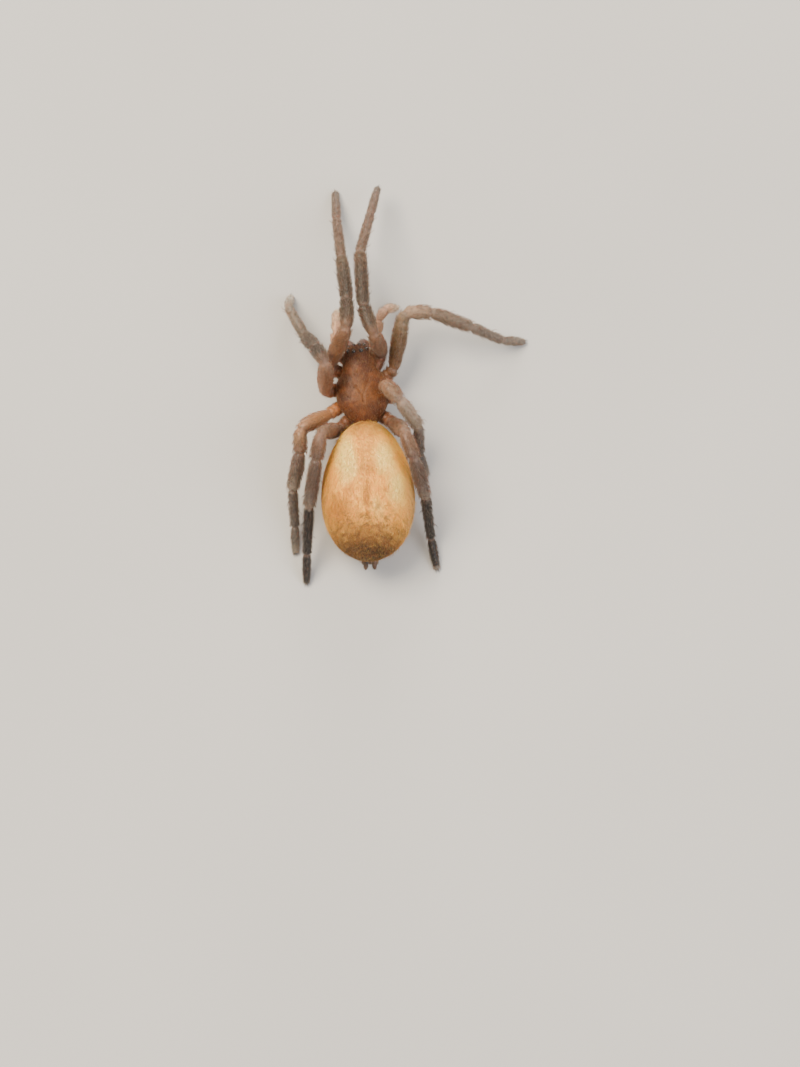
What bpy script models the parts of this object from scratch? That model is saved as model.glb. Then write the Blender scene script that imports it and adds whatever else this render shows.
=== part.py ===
# Lace-weaver spider, a still life-size model of a female with a body 9 mm long.
# It stands as it was found: first legs stretched forward, the right one a little off the floor,
# and last legs trailing beside the abdomen.
# Body frame while modelling: +Y ahead of the spider, +X to its right, +Z up, floor at Z 0,
# with X 0, Y 0 under the middle of the carapace. The finished model is then centred on its box.

import math

import bmesh
import bpy
from mathutils import Matrix, Vector

MM = 0.001

# Driving dimensions
CARAPACE_LENGTH = 3.45 * MM
CARAPACE_WIDTH = 2.2 * MM
CARAPACE_HEIGHT = 0.68 * MM
CARAPACE_UNDERSIDE = 1.44 * MM
STERNUM_LENGTH = 2.1 * MM
STERNUM_WIDTH = 1.6 * MM
STERNUM_DEPTH = 0.64 * MM
STERNUM_CENTRE = Vector((0.0, -0.15 * MM, 1.02 * MM))
ABDOMEN_LENGTH = 5.64 * MM
ABDOMEN_WIDTH = 3.72 * MM
ABDOMEN_HEIGHT = 3.2 * MM
ABDOMEN_CENTRE = Vector((-0.33 * MM, -4.41 * MM, 1.98 * MM))
ABDOMEN_SWING = math.radians(-5.8)
ABDOMEN_RISE = math.radians(4.0)
COXA_HEIGHT = 1.0 * MM
JOINT_GAP = 0.1 * MM
EYE_GAP = 0.03 * MM
FOOT_HEIGHT = 0.12 * MM

# Shape of the body: how blunt the ends of the carapace are, how domed it is, how much wider the
# abdomen is behind than ahead, and its heights below and above its middle as shares of the half
HEAD_BLUNTNESS = 3.4
REAR_BLUNTNESS = 2.3
DOME_POWER = 0.85
ABDOMEN_TAPER = 0.13
ABDOMEN_BELOW = 0.94
ABDOMEN_ABOVE = 1.03
STERNUM_SQUARENESS = 0.72
MAXILLA_SQUARENESS = 0.8

# Half widths and heights of the carapace as shares of the greatest, from its rear edge to the front
CARAPACE_WIDTHS = ((-1.0, 0.80), (-0.3, 1.0), (0.05, 0.95), (0.45, 0.63), (1.0, 0.60))
CARAPACE_HEIGHTS = ((-1.0, 0.62), (-0.35, 0.90), (0.15, 0.90), (0.55, 1.0), (1.0, 0.92))

# Bends of a limb: the room that a bend takes beyond its radius, its least length, the most that it
# takes of the shorter segment, and the straight bit behind each end face
BEND_EASE = 1.15
BEND_START = 0.12 * MM
BEND_LIMIT = 0.58
FACE_LAND = 0.04 * MM
SHARP_TURN = math.radians(50.0)

# The share of the sternum's half size at which the coxae begin, and the rounded tip of a limb
COXA_SEAT = 0.95
TIP_LENGTH = 0.07 * MM
TIP_SHARE = 0.6

# Lengths of coxa with trochanter, femur, patella, tibia, metatarsus and tarsus, by pair of legs
LEG_LENGTHS = {
    1: [0.90 * MM, 2.65 * MM, 1.40 * MM, 2.45 * MM, 2.25 * MM, 1.40 * MM],
    2: [0.85 * MM, 2.35 * MM, 1.10 * MM, 1.75 * MM, 1.65 * MM, 1.00 * MM],
    3: [0.90 * MM, 2.00 * MM, 1.00 * MM, 1.55 * MM, 1.65 * MM, 1.00 * MM],
    4: [1.00 * MM, 2.50 * MM, 1.15 * MM, 2.05 * MM, 2.10 * MM, 1.20 * MM],
}
# Radii of each of those segments at its start, middle and end
LEG_RADII = [
    (0.24 * MM, 0.29 * MM, 0.27 * MM),
    (0.27 * MM, 0.34 * MM, 0.27 * MM),
    (0.28 * MM, 0.30 * MM, 0.27 * MM),
    (0.27 * MM, 0.285 * MM, 0.255 * MM),
    (0.23 * MM, 0.215 * MM, 0.20 * MM),
    (0.20 * MM, 0.19 * MM, 0.145 * MM),
]
LEG_SEGMENTS = ("coxa", "femur", "patella", "tibia", "metatarsus", "tarsus")
# Each node of a leg runs from its first segment to its last
LEG_NODES = (("coxa", 0, 0), ("femur", 1, 1), ("tibia", 2, 3), ("tarsus", 4, 5))
# Where each coxa leaves the sternum, as an angle round it from straight out to the side
COXA_ANGLES = {1: 50.0, 2: 17.0, 3: -20.0, 4: -56.0}

# The pose: heading and pitch of each segment, in degrees. A heading of 0 is straight ahead and
# 90 is out to the leg's own side. A tarsus with a heading only slopes down to the floor.
LEG_POSE = {
    ("left", 1): [(64, 22), (-44, 61), (-8, -22), (-1, -30), (-1, -31), -5],
    ("right", 1): [(36, 6), (-70, 83), (-11, -12), (4, -13), (20, -30), (20, -27)],
    ("left", 2): [(105, 22), (-11, 73), (19, -34), (21, -58), (20, -19), -17],
    ("right", 2): [(56, 22), (18, 20), (98, -4), (115, -12), (111, -38), 92],
    ("left", 3): [(119, 12), (121, 45), (172, -22), (160, -26), (176, -38), 173],
    ("right", 3): [(98, 36), (-76, 69), (140, -7), (145, -44), (183, -61), 168],
    ("left", 4): [(132, 14), (124, 69), (162, -16), (162, -35), (169, -37), 171],
    ("right", 4): [(137, 21), (161, 67), (168, 0), (167, -50), (178, -49), 176],
}

PALP_LENGTHS = [0.32 * MM, 0.95 * MM, 0.48 * MM, 0.55 * MM, 0.80 * MM]
PALP_RADII = [
    (0.14 * MM, 0.15 * MM, 0.15 * MM),
    (0.15 * MM, 0.19 * MM, 0.18 * MM),
    (0.18 * MM, 0.20 * MM, 0.18 * MM),
    (0.18 * MM, 0.20 * MM, 0.19 * MM),
    (0.19 * MM, 0.20 * MM, 0.11 * MM),
]
PALP_NODES = (("femur", 0, 1), ("tarsus", 2, 4))
PALP_ROOT = Vector((0.38 * MM, 1.20 * MM, 0.80 * MM))
PALP_POSE = {
    "left": [(76, 16), (21, 49), (-21, 16), (-8, -28), (-8, -44)],
    "right": [(48, -12), (24, 8), (5, 13), (33, -4), (74, -46)],
}

# Eyes: distance from the middle, angle along the head with 90 at its front, and radius
EYES = {
    "eye_front_median": (0.11 * MM, 75.0, 0.070 * MM),
    "eye_front_lateral": (0.31 * MM, 71.5, 0.080 * MM),
    "eye_rear_median": (0.15 * MM, 52.0, 0.080 * MM),
    "eye_rear_lateral": (0.38 * MM, 56.0, 0.080 * MM),
}

# Jaws, as stations of place and radius in millimetres on the right side
CHELICERA_LINE = (
    ((0.28, 1.46, 1.66), 0.17),
    ((0.29, 1.60, 1.50), 0.21),
    ((0.30, 1.74, 1.27), 0.245),
    ((0.295, 1.80, 1.02), 0.24),
    ((0.28, 1.80, 0.78), 0.21),
    ((0.26, 1.78, 0.60), 0.165),
    ((0.25, 1.77, 0.53), 0.12),
)
FANG_LINE = (
    ((0.25, 1.77, 0.43), 0.095),
    ((0.24, 1.77, 0.36), 0.085),
    ((0.18, 1.74, 0.29), 0.065),
    ((0.10, 1.69, 0.29), 0.04),
    ((0.06, 1.65, 0.33), 0.018),
)
MAXILLA_CENTRE = Vector((0.33 * MM, 1.12 * MM, 0.88 * MM))
MAXILLA_HALF = (0.16 * MM, 0.36 * MM, 0.19 * MM)

# Waist, as stations of place along Y, height and radius in millimetres
PEDICEL_LINE = ((-1.0, 1.22, 0.16), (-1.5, 1.24, 0.15), (-2.5, 1.5, 0.2))

# Spinnerets: root in the frame of the abdomen, heading and pitch, length and radius
SPINNERETS = {
    "front": (Vector((0.19, -2.30, -0.88)) * MM, (173, -34), 0.60 * MM, 0.15 * MM),
    "rear": (Vector((0.15, -2.62, -0.50)) * MM, (176, -18), 0.48 * MM, 0.12 * MM),
}
SPINNERET_TAPER = ((0.0, 1.0), (0.4, 1.0), (0.75, 0.85), (0.95, 0.6), (1.0, 0.35))

SIDES = (("left", -1.0), ("right", 1.0))


def remove_startup_objects():
    for item in list(bpy.data.objects):
        bpy.data.objects.remove(item, do_unlink=True)


def new_collection(name):
    group = bpy.data.collections.new(name)
    bpy.context.scene.collection.children.link(group)
    return group


def new_material(name, colour, roughness):
    material = bpy.data.materials.new(name)
    material.use_nodes = True
    shader = material.node_tree.nodes["Principled BSDF"]
    shader.inputs["Base Color"].default_value = (*colour, 1.0)
    shader.inputs["Roughness"].default_value = roughness
    shader.inputs["Metallic"].default_value = 0.0
    return material


def new_object(name, mesh, group, material=None):
    item = bpy.data.objects.new(name, mesh)
    group.objects.link(item)
    if material:
        mesh.materials.append(material)
    return item


def smooth(mesh, angle=50.0):
    mesh.shade_smooth()
    mesh.set_sharp_from_angle(angle=math.radians(angle))


def mesh_from(bm, name):
    bmesh.ops.recalc_face_normals(bm, faces=bm.faces)
    mesh = bpy.data.meshes.new(name)
    bm.to_mesh(mesh)
    bm.free()
    smooth(mesh)
    return mesh


# A round body: a sphere with its poles ahead and behind, each point of which place() moves
def ball_mesh(name, around, along, place):
    bm = bmesh.new()
    bmesh.ops.create_uvsphere(bm, u_segments=around, v_segments=along, radius=1.0)
    bmesh.ops.rotate(bm, verts=bm.verts, cent=(0, 0, 0), matrix=Matrix.Rotation(-math.pi / 2, 3, "X"))
    for vert in bm.verts:
        vert.co = place(vert.co)
    return mesh_from(bm, name)


def squared(value, power):
    return math.copysign(abs(value) ** power, value)


# A box-like ball, rounder as squareness nears 1
def pillow_place(centre, half, squareness, grow):
    def place(unit):
        return centre + Vector(
            squared(unit[axis], squareness) * (half[axis] + grow) for axis in range(3)
        )
    return place


def between(stations, value):
    for (low, start), (high, end) in zip(stations, stations[1:]):
        if value <= high:
            share = min(max((value - low) / (high - low), 0.0), 1.0)
            share = share * share * (3 - 2 * share)
            return start + (end - start) * share
    return stations[-1][1]


def carapace_place(grow):
    half_length = CARAPACE_LENGTH / 2 + grow

    def place(unit):
        blunt = HEAD_BLUNTNESS if unit.y > 0 else REAR_BLUNTNESS
        shrink = (1 - min(abs(unit.y), 1.0) ** blunt) ** (1 / blunt)
        half_width = between(CARAPACE_WIDTHS, unit.y) * CARAPACE_WIDTH / 2 + grow
        height = between(CARAPACE_HEIGHTS, unit.y) * CARAPACE_HEIGHT + grow
        ring = math.hypot(unit.x, unit.z)
        across = unit.x / ring if ring > 1e-6 else 0.0
        up = unit.z / ring if ring > 1e-6 else 0.0
        if up >= 0:
            z = CARAPACE_UNDERSIDE + height * shrink * up ** DOME_POWER
        else:
            z = CARAPACE_UNDERSIDE - grow
        return Vector((half_width * shrink * across, half_length * unit.y, z))
    return place


def abdomen_turn():
    return Matrix.Rotation(ABDOMEN_SWING, 3, "Z") @ Matrix.Rotation(ABDOMEN_RISE, 3, "X")


def abdomen_place(grow):
    turn = abdomen_turn()

    def place(unit):
        height = ABDOMEN_BELOW if unit.z < 0 else ABDOMEN_ABOVE
        point = Vector((
            unit.x * (ABDOMEN_WIDTH / 2 * (1 - ABDOMEN_TAPER * unit.y) + grow),
            unit.y * (ABDOMEN_LENGTH / 2 + grow),
            unit.z * (ABDOMEN_HEIGHT / 2 * height + grow),
        ))
        return ABDOMEN_CENTRE + turn @ point
    return place


def sternum_place(grow):
    half = (STERNUM_WIDTH / 2, STERNUM_LENGTH / 2, STERNUM_DEPTH / 2)
    return pillow_place(STERNUM_CENTRE, half, STERNUM_SQUARENESS, grow)


def maxilla_place(sign, grow):
    centre = Vector((MAXILLA_CENTRE.x * sign, MAXILLA_CENTRE.y, MAXILLA_CENTRE.z))
    return pillow_place(centre, MAXILLA_HALF, MAXILLA_SQUARENESS, grow)


def cutter(name, mesh, group):
    item = new_object(name, mesh, group)
    item.hide_render = True
    item.display_type = "WIRE"
    return item


# The Boolean modifiers that keep a piece clear of what it meets
def cut_with(item, cutters):
    for tool in cutters:
        cut = item.modifiers.new("Clear of " + tool.name, "BOOLEAN")
        cut.operation = "DIFFERENCE"
        cut.object = tool


# A closed tube through points with a radius at each, as a mesh
def tube_mesh(name, points, radii, resolution=2):
    curve = bpy.data.curves.new(name, "CURVE")
    curve.dimensions = "3D"
    curve.bevel_depth = 1.0
    curve.bevel_resolution = resolution
    curve.use_fill_caps = True
    curve.twist_mode = "MINIMUM"
    spline = curve.splines.new("POLY")
    spline.points.add(len(points) - 1)
    for station, point, radius in zip(spline.points, points, radii):
        station.co = (*point, 1.0)
        station.radius = radius
    holder = bpy.data.objects.new(name, curve)
    bpy.context.scene.collection.objects.link(holder)
    evaluated = holder.evaluated_get(bpy.context.evaluated_depsgraph_get())
    mesh = bpy.data.meshes.new_from_object(evaluated)
    bpy.data.objects.remove(holder, do_unlink=True)
    bm = bmesh.new()
    bm.from_mesh(mesh)
    bpy.data.meshes.remove(mesh)
    bmesh.ops.remove_doubles(bm, verts=bm.verts, dist=0.0005 * MM)
    return mesh_from(bm, name)


def direction(sign, heading, pitch):
    turn = math.radians(heading)
    rise = math.radians(pitch)
    flat = math.cos(rise)
    return Vector((sign * flat * math.sin(turn), flat * math.cos(turn), math.sin(rise)))


# Joints of a limb from its root, one more than it has segments
def limb_joints(root, sign, lengths, pose):
    joints = [root]
    for length, aim in zip(lengths, pose):
        if isinstance(aim, tuple):
            step = direction(sign, *aim)
        else:
            drop = joints[-1].z - FOOT_HEIGHT
            step = direction(sign, aim, -math.degrees(math.asin(drop / length)))
        joints.append(joints[-1] + step * length)
    return joints


# How far back from a joint its rounded bend begins, wide enough that the inside of the bend
# does not fold over itself
def bend_reach(joints, index, radius):
    before = joints[index - 1] - joints[index]
    after = joints[index + 1] - joints[index]
    turn = math.pi - before.angle(after)
    widest = BEND_LIMIT * min(before.length, after.length)
    return min(widest, BEND_EASE * radius * math.tan(turn / 2) + BEND_START)


# A point on the arc that rounds a joint, at a share of the way round
def corner(joints, index, reach, share):
    before = (joints[index - 1] - joints[index]).normalized()
    after = (joints[index + 1] - joints[index]).normalized()
    half_turn = (math.pi - before.angle(after)) / 2
    if half_turn < 0.01:
        return joints[index] + before * reach * (1 - 2 * share)
    arc_radius = reach / math.tan(half_turn)
    inward = (before + after).normalized()
    centre = joints[index] + inward * (reach / math.sin(half_turn))
    spoke = joints[index] + before * reach - centre
    axis = before.cross(after)
    swing = Matrix.Rotation(-2 * half_turn * share, 3, axis)
    return centre + (swing @ spoke).normalized() * arc_radius


def segment_radius(radii, share):
    start, middle, end = radii
    if share < 0.5:
        low, high, part = start, middle, share * 2
    else:
        low, high, part = middle, end, share * 2 - 1
    part = part * part * (3 - 2 * part)
    return low + (high - low) * part


# The end face of a piece, halfway round a bend, and the points from there to the straight.
# The face is square to the line of the limb, and stands back by half of the gap.
def bend_points(joints, index, reach, onward):
    before = (joints[index - 1] - joints[index]).normalized()
    after = (joints[index + 1] - joints[index]).normalized()
    along = (after - before).normalized() * onward
    face = corner(joints, index, reach, 0.5) + along * JOINT_GAP / 2
    points = [face, face + along * FACE_LAND]
    if math.pi - before.angle(after) > SHARP_TURN:
        points.append(corner(joints, index, reach, 0.5 + 0.28 * onward))
    return points


# The stretch of a limb from segment first to segment last: straight between joints and rounded
# at each joint
def limb_stretch(joints, radii, first, last):
    final = len(joints) - 2
    reaches = [0.0]
    for index in range(1, final + 1):
        reaches.append(bend_reach(joints, index, max(radii[index - 1][2], radii[index][0])))
    points = []
    sizes = []
    for index in range(first, last + 1):
        start = corner(joints, index, reaches[index], 1.0) if index > 0 else joints[0]
        end = corner(joints, index + 1, reaches[index + 1], 0.0) if index < final else joints[-1]
        if index == first and index > 0:
            face = bend_points(joints, index, reaches[index], 1)
            points += face
            sizes += [radii[index][0]] * len(face)
        for share in (0.0, 0.33, 0.67, 1.0):
            points.append(start.lerp(end, share))
            sizes.append(segment_radius(radii[index], share))
        if index < last:
            points.append(corner(joints, index + 1, reaches[index + 1], 0.5))
            sizes.append(radii[index][2])
        elif index < final:
            face = bend_points(joints, index + 1, reaches[index + 1], -1)
            points += reversed(face)
            sizes += [radii[index][2]] * len(face)
    return points, sizes


def flatten_foot(mesh):
    bm = bmesh.new()
    bm.from_mesh(mesh)
    everything = bm.verts[:] + bm.edges[:] + bm.faces[:]
    bmesh.ops.bisect_plane(
        bm, geom=everything, plane_co=(0, 0, 0), plane_no=(0, 0, 1), dist=0.0005 * MM, clear_inner=True
    )
    rim = [edge for edge in bm.edges if edge.is_boundary]
    bmesh.ops.holes_fill(bm, edges=rim, sides=0)
    bmesh.ops.recalc_face_normals(bm, faces=bm.faces)
    bm.to_mesh(mesh)
    bm.free()


def coxa_root(sign, pair):
    angle = math.radians(COXA_ANGLES[pair])
    return Vector((
        sign * STERNUM_WIDTH / 2 * COXA_SEAT * math.cos(angle),
        STERNUM_CENTRE.y + STERNUM_LENGTH / 2 * COXA_SEAT * math.sin(angle),
        COXA_HEIGHT,
    ))


# The rounded tip of a limb's last segment
def round_tip(points, sizes):
    ahead = (points[-1] - points[-2]).normalized()
    points.append(points[-1] + ahead * TIP_LENGTH)
    sizes.append(sizes[-1] * TIP_SHARE)


def make_leg(side, sign, pair, group, material, cutters):
    joints = limb_joints(coxa_root(sign, pair), sign, LEG_LENGTHS[pair], LEG_POSE[side, pair])
    for piece, first, last in LEG_NODES:
        points, sizes = limb_stretch(joints, LEG_RADII, first, last)
        is_foot = last == len(LEG_SEGMENTS) - 1
        if is_foot:
            round_tip(points, sizes)
        name = f"leg_{side}_{pair}_{piece}"
        mesh = tube_mesh(name, points, sizes)
        if is_foot:
            flatten_foot(mesh)
        item = new_object(name, mesh, group, material)
        if first == 0:
            cut_with(item, cutters)


def make_palp(side, sign, group, material, cutters):
    root = Vector((PALP_ROOT.x * sign, PALP_ROOT.y, PALP_ROOT.z))
    joints = limb_joints(root, sign, PALP_LENGTHS, PALP_POSE[side])
    for piece, first, last in PALP_NODES:
        points, sizes = limb_stretch(joints, PALP_RADII, first, last)
        if last == len(PALP_LENGTHS) - 1:
            round_tip(points, sizes)
        name = f"palp_{side}_{piece}"
        item = new_object(name, tube_mesh(name, points, sizes), group, material)
        if first == 0:
            cut_with(item, cutters)


def line_tube(name, line, sign, resolution):
    points = [Vector((x * sign, y, z)) * MM for (x, y, z), _ in line]
    radii = [radius * MM for _, radius in line]
    return tube_mesh(name, points, radii, resolution)


# Each eye is centred on the surface of the head, and what lies inside the head is cut off
def make_eyes(place, group, material, head):
    for name, (side_step, lean, radius) in EYES.items():
        for side, sign in SIDES:
            along = math.sin(math.radians(lean))
            ring = math.cos(math.radians(lean))
            blunt = (1 - along ** HEAD_BLUNTNESS) ** (1 / HEAD_BLUNTNESS)
            half_width = between(CARAPACE_WIDTHS, along) * CARAPACE_WIDTH / 2 * blunt
            across = min(side_step / half_width, 0.95)
            up = math.sqrt(1 - across * across)
            centre = place(Vector((sign * ring * across, along, ring * up)))
            bm = bmesh.new()
            bmesh.ops.create_uvsphere(bm, u_segments=12, v_segments=8, radius=radius)
            bmesh.ops.translate(bm, verts=bm.verts, vec=centre)
            item = new_object(f"{name}_{side}", mesh_from(bm, name), group, material)
            cut_with(item, [head])


def make_spinnerets(group, material, belly):
    turn = abdomen_turn()
    for row, (root, aim, length, radius) in SPINNERETS.items():
        for side, sign in SIDES:
            start = Vector((root.x * sign, root.y, root.z))
            step = direction(sign, *aim) * length
            points = [ABDOMEN_CENTRE + turn @ (start + step * share) for share, _ in SPINNERET_TAPER]
            sizes = [radius * size for _, size in SPINNERET_TAPER]
            name = f"spinneret_{row}_{side}"
            item = new_object(name, tube_mesh(name, points, sizes), group, material)
            cut_with(item, [belly])


def centre_on_box(items, origin):
    depsgraph = bpy.context.evaluated_depsgraph_get()
    corners = []
    for item in items:
        evaluated = item.evaluated_get(depsgraph)
        corners += [vert.co for vert in evaluated.data.vertices]
    low = Vector(min(point[axis] for point in corners) for axis in range(3))
    high = Vector(max(point[axis] for point in corners) for axis in range(3))
    origin.location = (-(low.x + high.x) / 2, -(low.y + high.y) / 2, -low.z)


def main():
    remove_startup_objects()
    spider = new_collection("window_spider")
    tools = new_collection("cutters")

    shell = new_material("carapace_shell", (0.32, 0.10, 0.035), 0.35)
    flesh = new_material("leg_skin", (0.27, 0.15, 0.10), 0.5)
    belly_skin = new_material("abdomen_skin", (0.80, 0.55, 0.26), 0.6)
    jaw = new_material("jaw_shell", (0.14, 0.04, 0.02), 0.3)
    fang_horn = new_material("fang_horn", (0.03, 0.008, 0.005), 0.2)
    eye_glass = new_material("eye_lens", (0.02, 0.015, 0.012), 0.05)
    plate = new_material("plate_shell", (0.25, 0.09, 0.04), 0.45)
    silk_skin = new_material("spinneret_skin", (0.35, 0.21, 0.12), 0.6)

    bodies = {}
    for name, place, around, along, material in (
        ("carapace", carapace_place, 36, 24, shell),
        ("sternum", sternum_place, 24, 12, plate),
        ("abdomen", abdomen_place, 40, 28, belly_skin),
    ):
        new_object(name, ball_mesh(name, around, along, place(0.0)), spider, material)
        bodies[name] = cutter(f"grown_{name}", ball_mesh(name, around, along, place(JOINT_GAP)), tools)
    carapace_cutter = bodies["carapace"]
    sternum_cutter = bodies["sternum"]
    belly_cutter = bodies["abdomen"]
    eye_cutter = cutter("eye_seat", ball_mesh("eye_seat", 36, 24, carapace_place(EYE_GAP)), tools)

    waist_points = [Vector((0.0, y, z)) * MM for y, z, _ in PEDICEL_LINE]
    waist_radii = [radius * MM for _, _, radius in PEDICEL_LINE]
    waist = new_object("pedicel", tube_mesh("pedicel", waist_points, waist_radii), spider, plate)
    cut_with(waist, [carapace_cutter, sternum_cutter, belly_cutter])

    for side, sign in SIDES:
        grown = cutter(f"grown_maxilla_{side}",
                       ball_mesh("grown_maxilla", 16, 10, maxilla_place(sign, JOINT_GAP)), tools)
        maxilla = new_object(f"maxilla_{side}", ball_mesh("maxilla", 16, 10, maxilla_place(sign, 0.0)),
                             spider, plate)
        cut_with(maxilla, [sternum_cutter])
        jaw_mesh = line_tube("chelicera", CHELICERA_LINE, sign, 3)
        chelicera = new_object(f"chelicera_{side}", jaw_mesh, spider, jaw)
        cut_with(chelicera, [carapace_cutter, grown])
        new_object(f"fang_{side}", line_tube("fang", FANG_LINE, sign, 2), spider, fang_horn)
        make_palp(side, sign, spider, flesh, [grown])
        for pair in LEG_LENGTHS:
            make_leg(side, sign, pair, spider, flesh, [sternum_cutter, carapace_cutter, grown])

    make_eyes(carapace_place(0.0), spider, eye_glass, eye_cutter)
    make_spinnerets(spider, silk_skin, belly_cutter)

    origin = bpy.data.objects.new("spider_origin", None)
    spider.objects.link(origin)
    solids = [item for item in spider.objects if item.type == "MESH"]
    centre_on_box(solids, origin)
    for item in solids:
        item.parent = origin
    for item in tools.objects:
        item.parent = origin


main()
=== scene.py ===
# Lace-weaver spider: the looks of a still, life-size model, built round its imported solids.
# Shapes are worked out in millimetres in the body's own frame: +Y ahead, +X the spider's right,
# +Z up, the floor at 0, and X 0, Y 0 under the middle of the carapace.
import math

import bmesh
import bpy
import numpy as np
from mathutils import Matrix, Vector, noise


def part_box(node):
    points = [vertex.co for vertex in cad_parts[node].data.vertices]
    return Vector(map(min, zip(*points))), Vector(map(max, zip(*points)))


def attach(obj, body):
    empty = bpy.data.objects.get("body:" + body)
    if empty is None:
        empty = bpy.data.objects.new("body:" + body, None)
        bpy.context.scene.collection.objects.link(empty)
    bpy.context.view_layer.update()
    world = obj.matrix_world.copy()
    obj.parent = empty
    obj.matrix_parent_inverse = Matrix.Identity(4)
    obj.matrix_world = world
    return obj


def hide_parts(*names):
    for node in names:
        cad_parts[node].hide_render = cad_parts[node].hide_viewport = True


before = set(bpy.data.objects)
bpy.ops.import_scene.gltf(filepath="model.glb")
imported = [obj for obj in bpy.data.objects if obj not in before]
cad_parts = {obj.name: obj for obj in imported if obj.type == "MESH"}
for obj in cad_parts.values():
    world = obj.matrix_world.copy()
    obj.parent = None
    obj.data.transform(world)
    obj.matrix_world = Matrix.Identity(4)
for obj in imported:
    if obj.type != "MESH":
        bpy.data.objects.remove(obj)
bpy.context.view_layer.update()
print("loaded", len(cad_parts), "solids")

mm = 0.001
sides = (("left", -1.0), ("right", 1.0))
uvLow, uvSpan = 0.02, 0.96     # hair maps keep clear of the picture's edge

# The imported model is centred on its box, so the carapace tells how far the body frame was moved
shellLow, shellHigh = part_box("carapace")
carapaceUnderside = 1.44
bodyShift = Vector((
    (shellLow.x + shellHigh.x) / 2,
    (shellLow.y + shellHigh.y) / 2,
    shellLow.z - carapaceUnderside * mm,
))
toRow = Matrix.Translation(bodyShift) @ Matrix.Scale(mm, 4)


# Camera, floor and light

view = {
    "elevation": 78.0,                # degrees above the floor, from behind the spider
    "rightAcross": (0.991, -0.132),   # the picture's right, in the body frame
    "middle": (0.725, -6.215, 1.5),   # what the middle of the picture looks at
    "distance": 200.0,
    "tall": 42.68,                    # what the picture's height takes in at that distance
}


def placeCamera():
    across = Vector((view["rightAcross"][0], view["rightAcross"][1], 0.0)).normalized()
    along = Vector((-across.y, across.x, 0.0))
    rise = math.radians(view["elevation"])
    back = -along * math.cos(rise) + Vector((0, 0, math.sin(rise)))
    up = along * math.sin(rise) + Vector((0, 0, math.cos(rise)))
    data = bpy.data.cameras.new("photoCamera")
    camera = bpy.data.objects.new("photoCamera", data)
    bpy.context.scene.collection.objects.link(camera)
    turn = Matrix((across, up, back)).transposed().to_4x4()
    place = toRow @ (Vector(view["middle"]) + back * view["distance"])
    camera.matrix_world = Matrix.Translation(place) @ turn
    data.lens = data.sensor_width / 2 / (view["tall"] / 2 / view["distance"])
    data.clip_start = 0.01
    data.clip_end = 20.0
    data.dof.use_dof = False
    bpy.context.scene.camera = camera


# Studio lights: place in millimetres, size in millimetres, power in watts, colour
lights = {
    "windowKey": ((-150, 120, 330), 240, 2.7, "#FFF1DC"),
    "softFill": ((230, -120, 260), 300, 1.0, "#F1F4FF"),
    "rimBack": ((60, 300, 120), 160, 0.6, "#FFF9F0"),
}


def hexColour(code):
    parts = [int(code[at:at + 2], 16) / 255 for at in (1, 3, 5)]
    return tuple(p / 12.92 if p <= 0.04045 else ((p + 0.055) / 1.055) ** 2.4 for p in parts) + (1.0,)


def placeLights():
    target = toRow @ Vector((0, -2, 1))
    for name, (place, size, power, colour) in lights.items():
        data = bpy.data.lights.new(name, "AREA")
        data.shape = "DISK"
        data.size = size * mm
        data.energy = power
        data.color = hexColour(colour)[:3]
        lamp = bpy.data.objects.new(name, data)
        bpy.context.scene.collection.objects.link(lamp)
        spot = toRow @ Vector(place)
        aim = (spot - target).to_track_quat("Z", "Y").to_matrix().to_4x4()
        lamp.matrix_world = Matrix.Translation(spot) @ aim
    world = bpy.data.worlds.new("paleStudio")
    world.use_nodes = True
    world.node_tree.nodes["Background"].inputs["Color"].default_value = hexColour("#F2EEE8")
    world.node_tree.nodes["Background"].inputs["Strength"].default_value = 0.75
    bpy.context.scene.world = world


# Materials


# Adds a node: links maps its inputs to values, nodes or sockets, stops fills a colour ramp
def addNode(tree, kind, links=None, stops=None, **settings):
    node = tree.nodes.new("ShaderNode" + kind)
    for name, value in settings.items():
        setattr(node, name, value)
    for socket, value in (links or {}).items():
        if isinstance(value, bpy.types.Node):
            value = value.outputs[0]
        if isinstance(value, bpy.types.NodeSocket):
            tree.links.new(value, node.inputs[socket])
        else:
            node.inputs[socket].default_value = value
    if stops:
        ramp = node.color_ramp
        ramp.elements[0].position = stops[0][0]
        ramp.elements[0].color = hexColour(stops[0][1])
        ramp.elements[1].position = stops[-1][0]
        ramp.elements[1].color = hexColour(stops[-1][1])
        for place, colour in stops[1:-1]:
            ramp.elements.new(place).color = hexColour(colour)
    return node


def maths(tree, kind, *values):
    return addNode(tree, "Math", dict(enumerate(values)), operation=kind)


# Carries a value from one range into another, in a straight line or eased at both ends
def remap(tree, value, span, target=(0.0, 1.0), eased=False):
    return addNode(tree, "MapRange", {
        "Value": value, "From Min": span[0], "From Max": span[1], "To Min": target[0], "To Max": target[1],
    }, interpolation_type="SMOOTHSTEP" if eased else "LINEAR")


def newMaterial(name, sockets):
    material = bpy.data.materials.new(name)
    material.use_nodes = True
    shader = material.node_tree.nodes["Principled BSDF"]
    for socket, value in sockets.items():
        shader.inputs[socket].default_value = value
    return material, material.node_tree, shader


# Coordinates in millimetres from a place in the body frame
def bodyCoords(tree, middle=(0, 0, 0), turn=(0, 0, 0), size=(1, 1, 1)):
    spot = addNode(tree, "TexCoord").outputs["Object"]
    return addNode(tree, "Mapping", {
        "Vector": spot,
        "Location": toRow @ Vector(middle),
        "Rotation": turn,
        "Scale": Vector(size) * mm,
    }, vector_type="TEXTURE")


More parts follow.
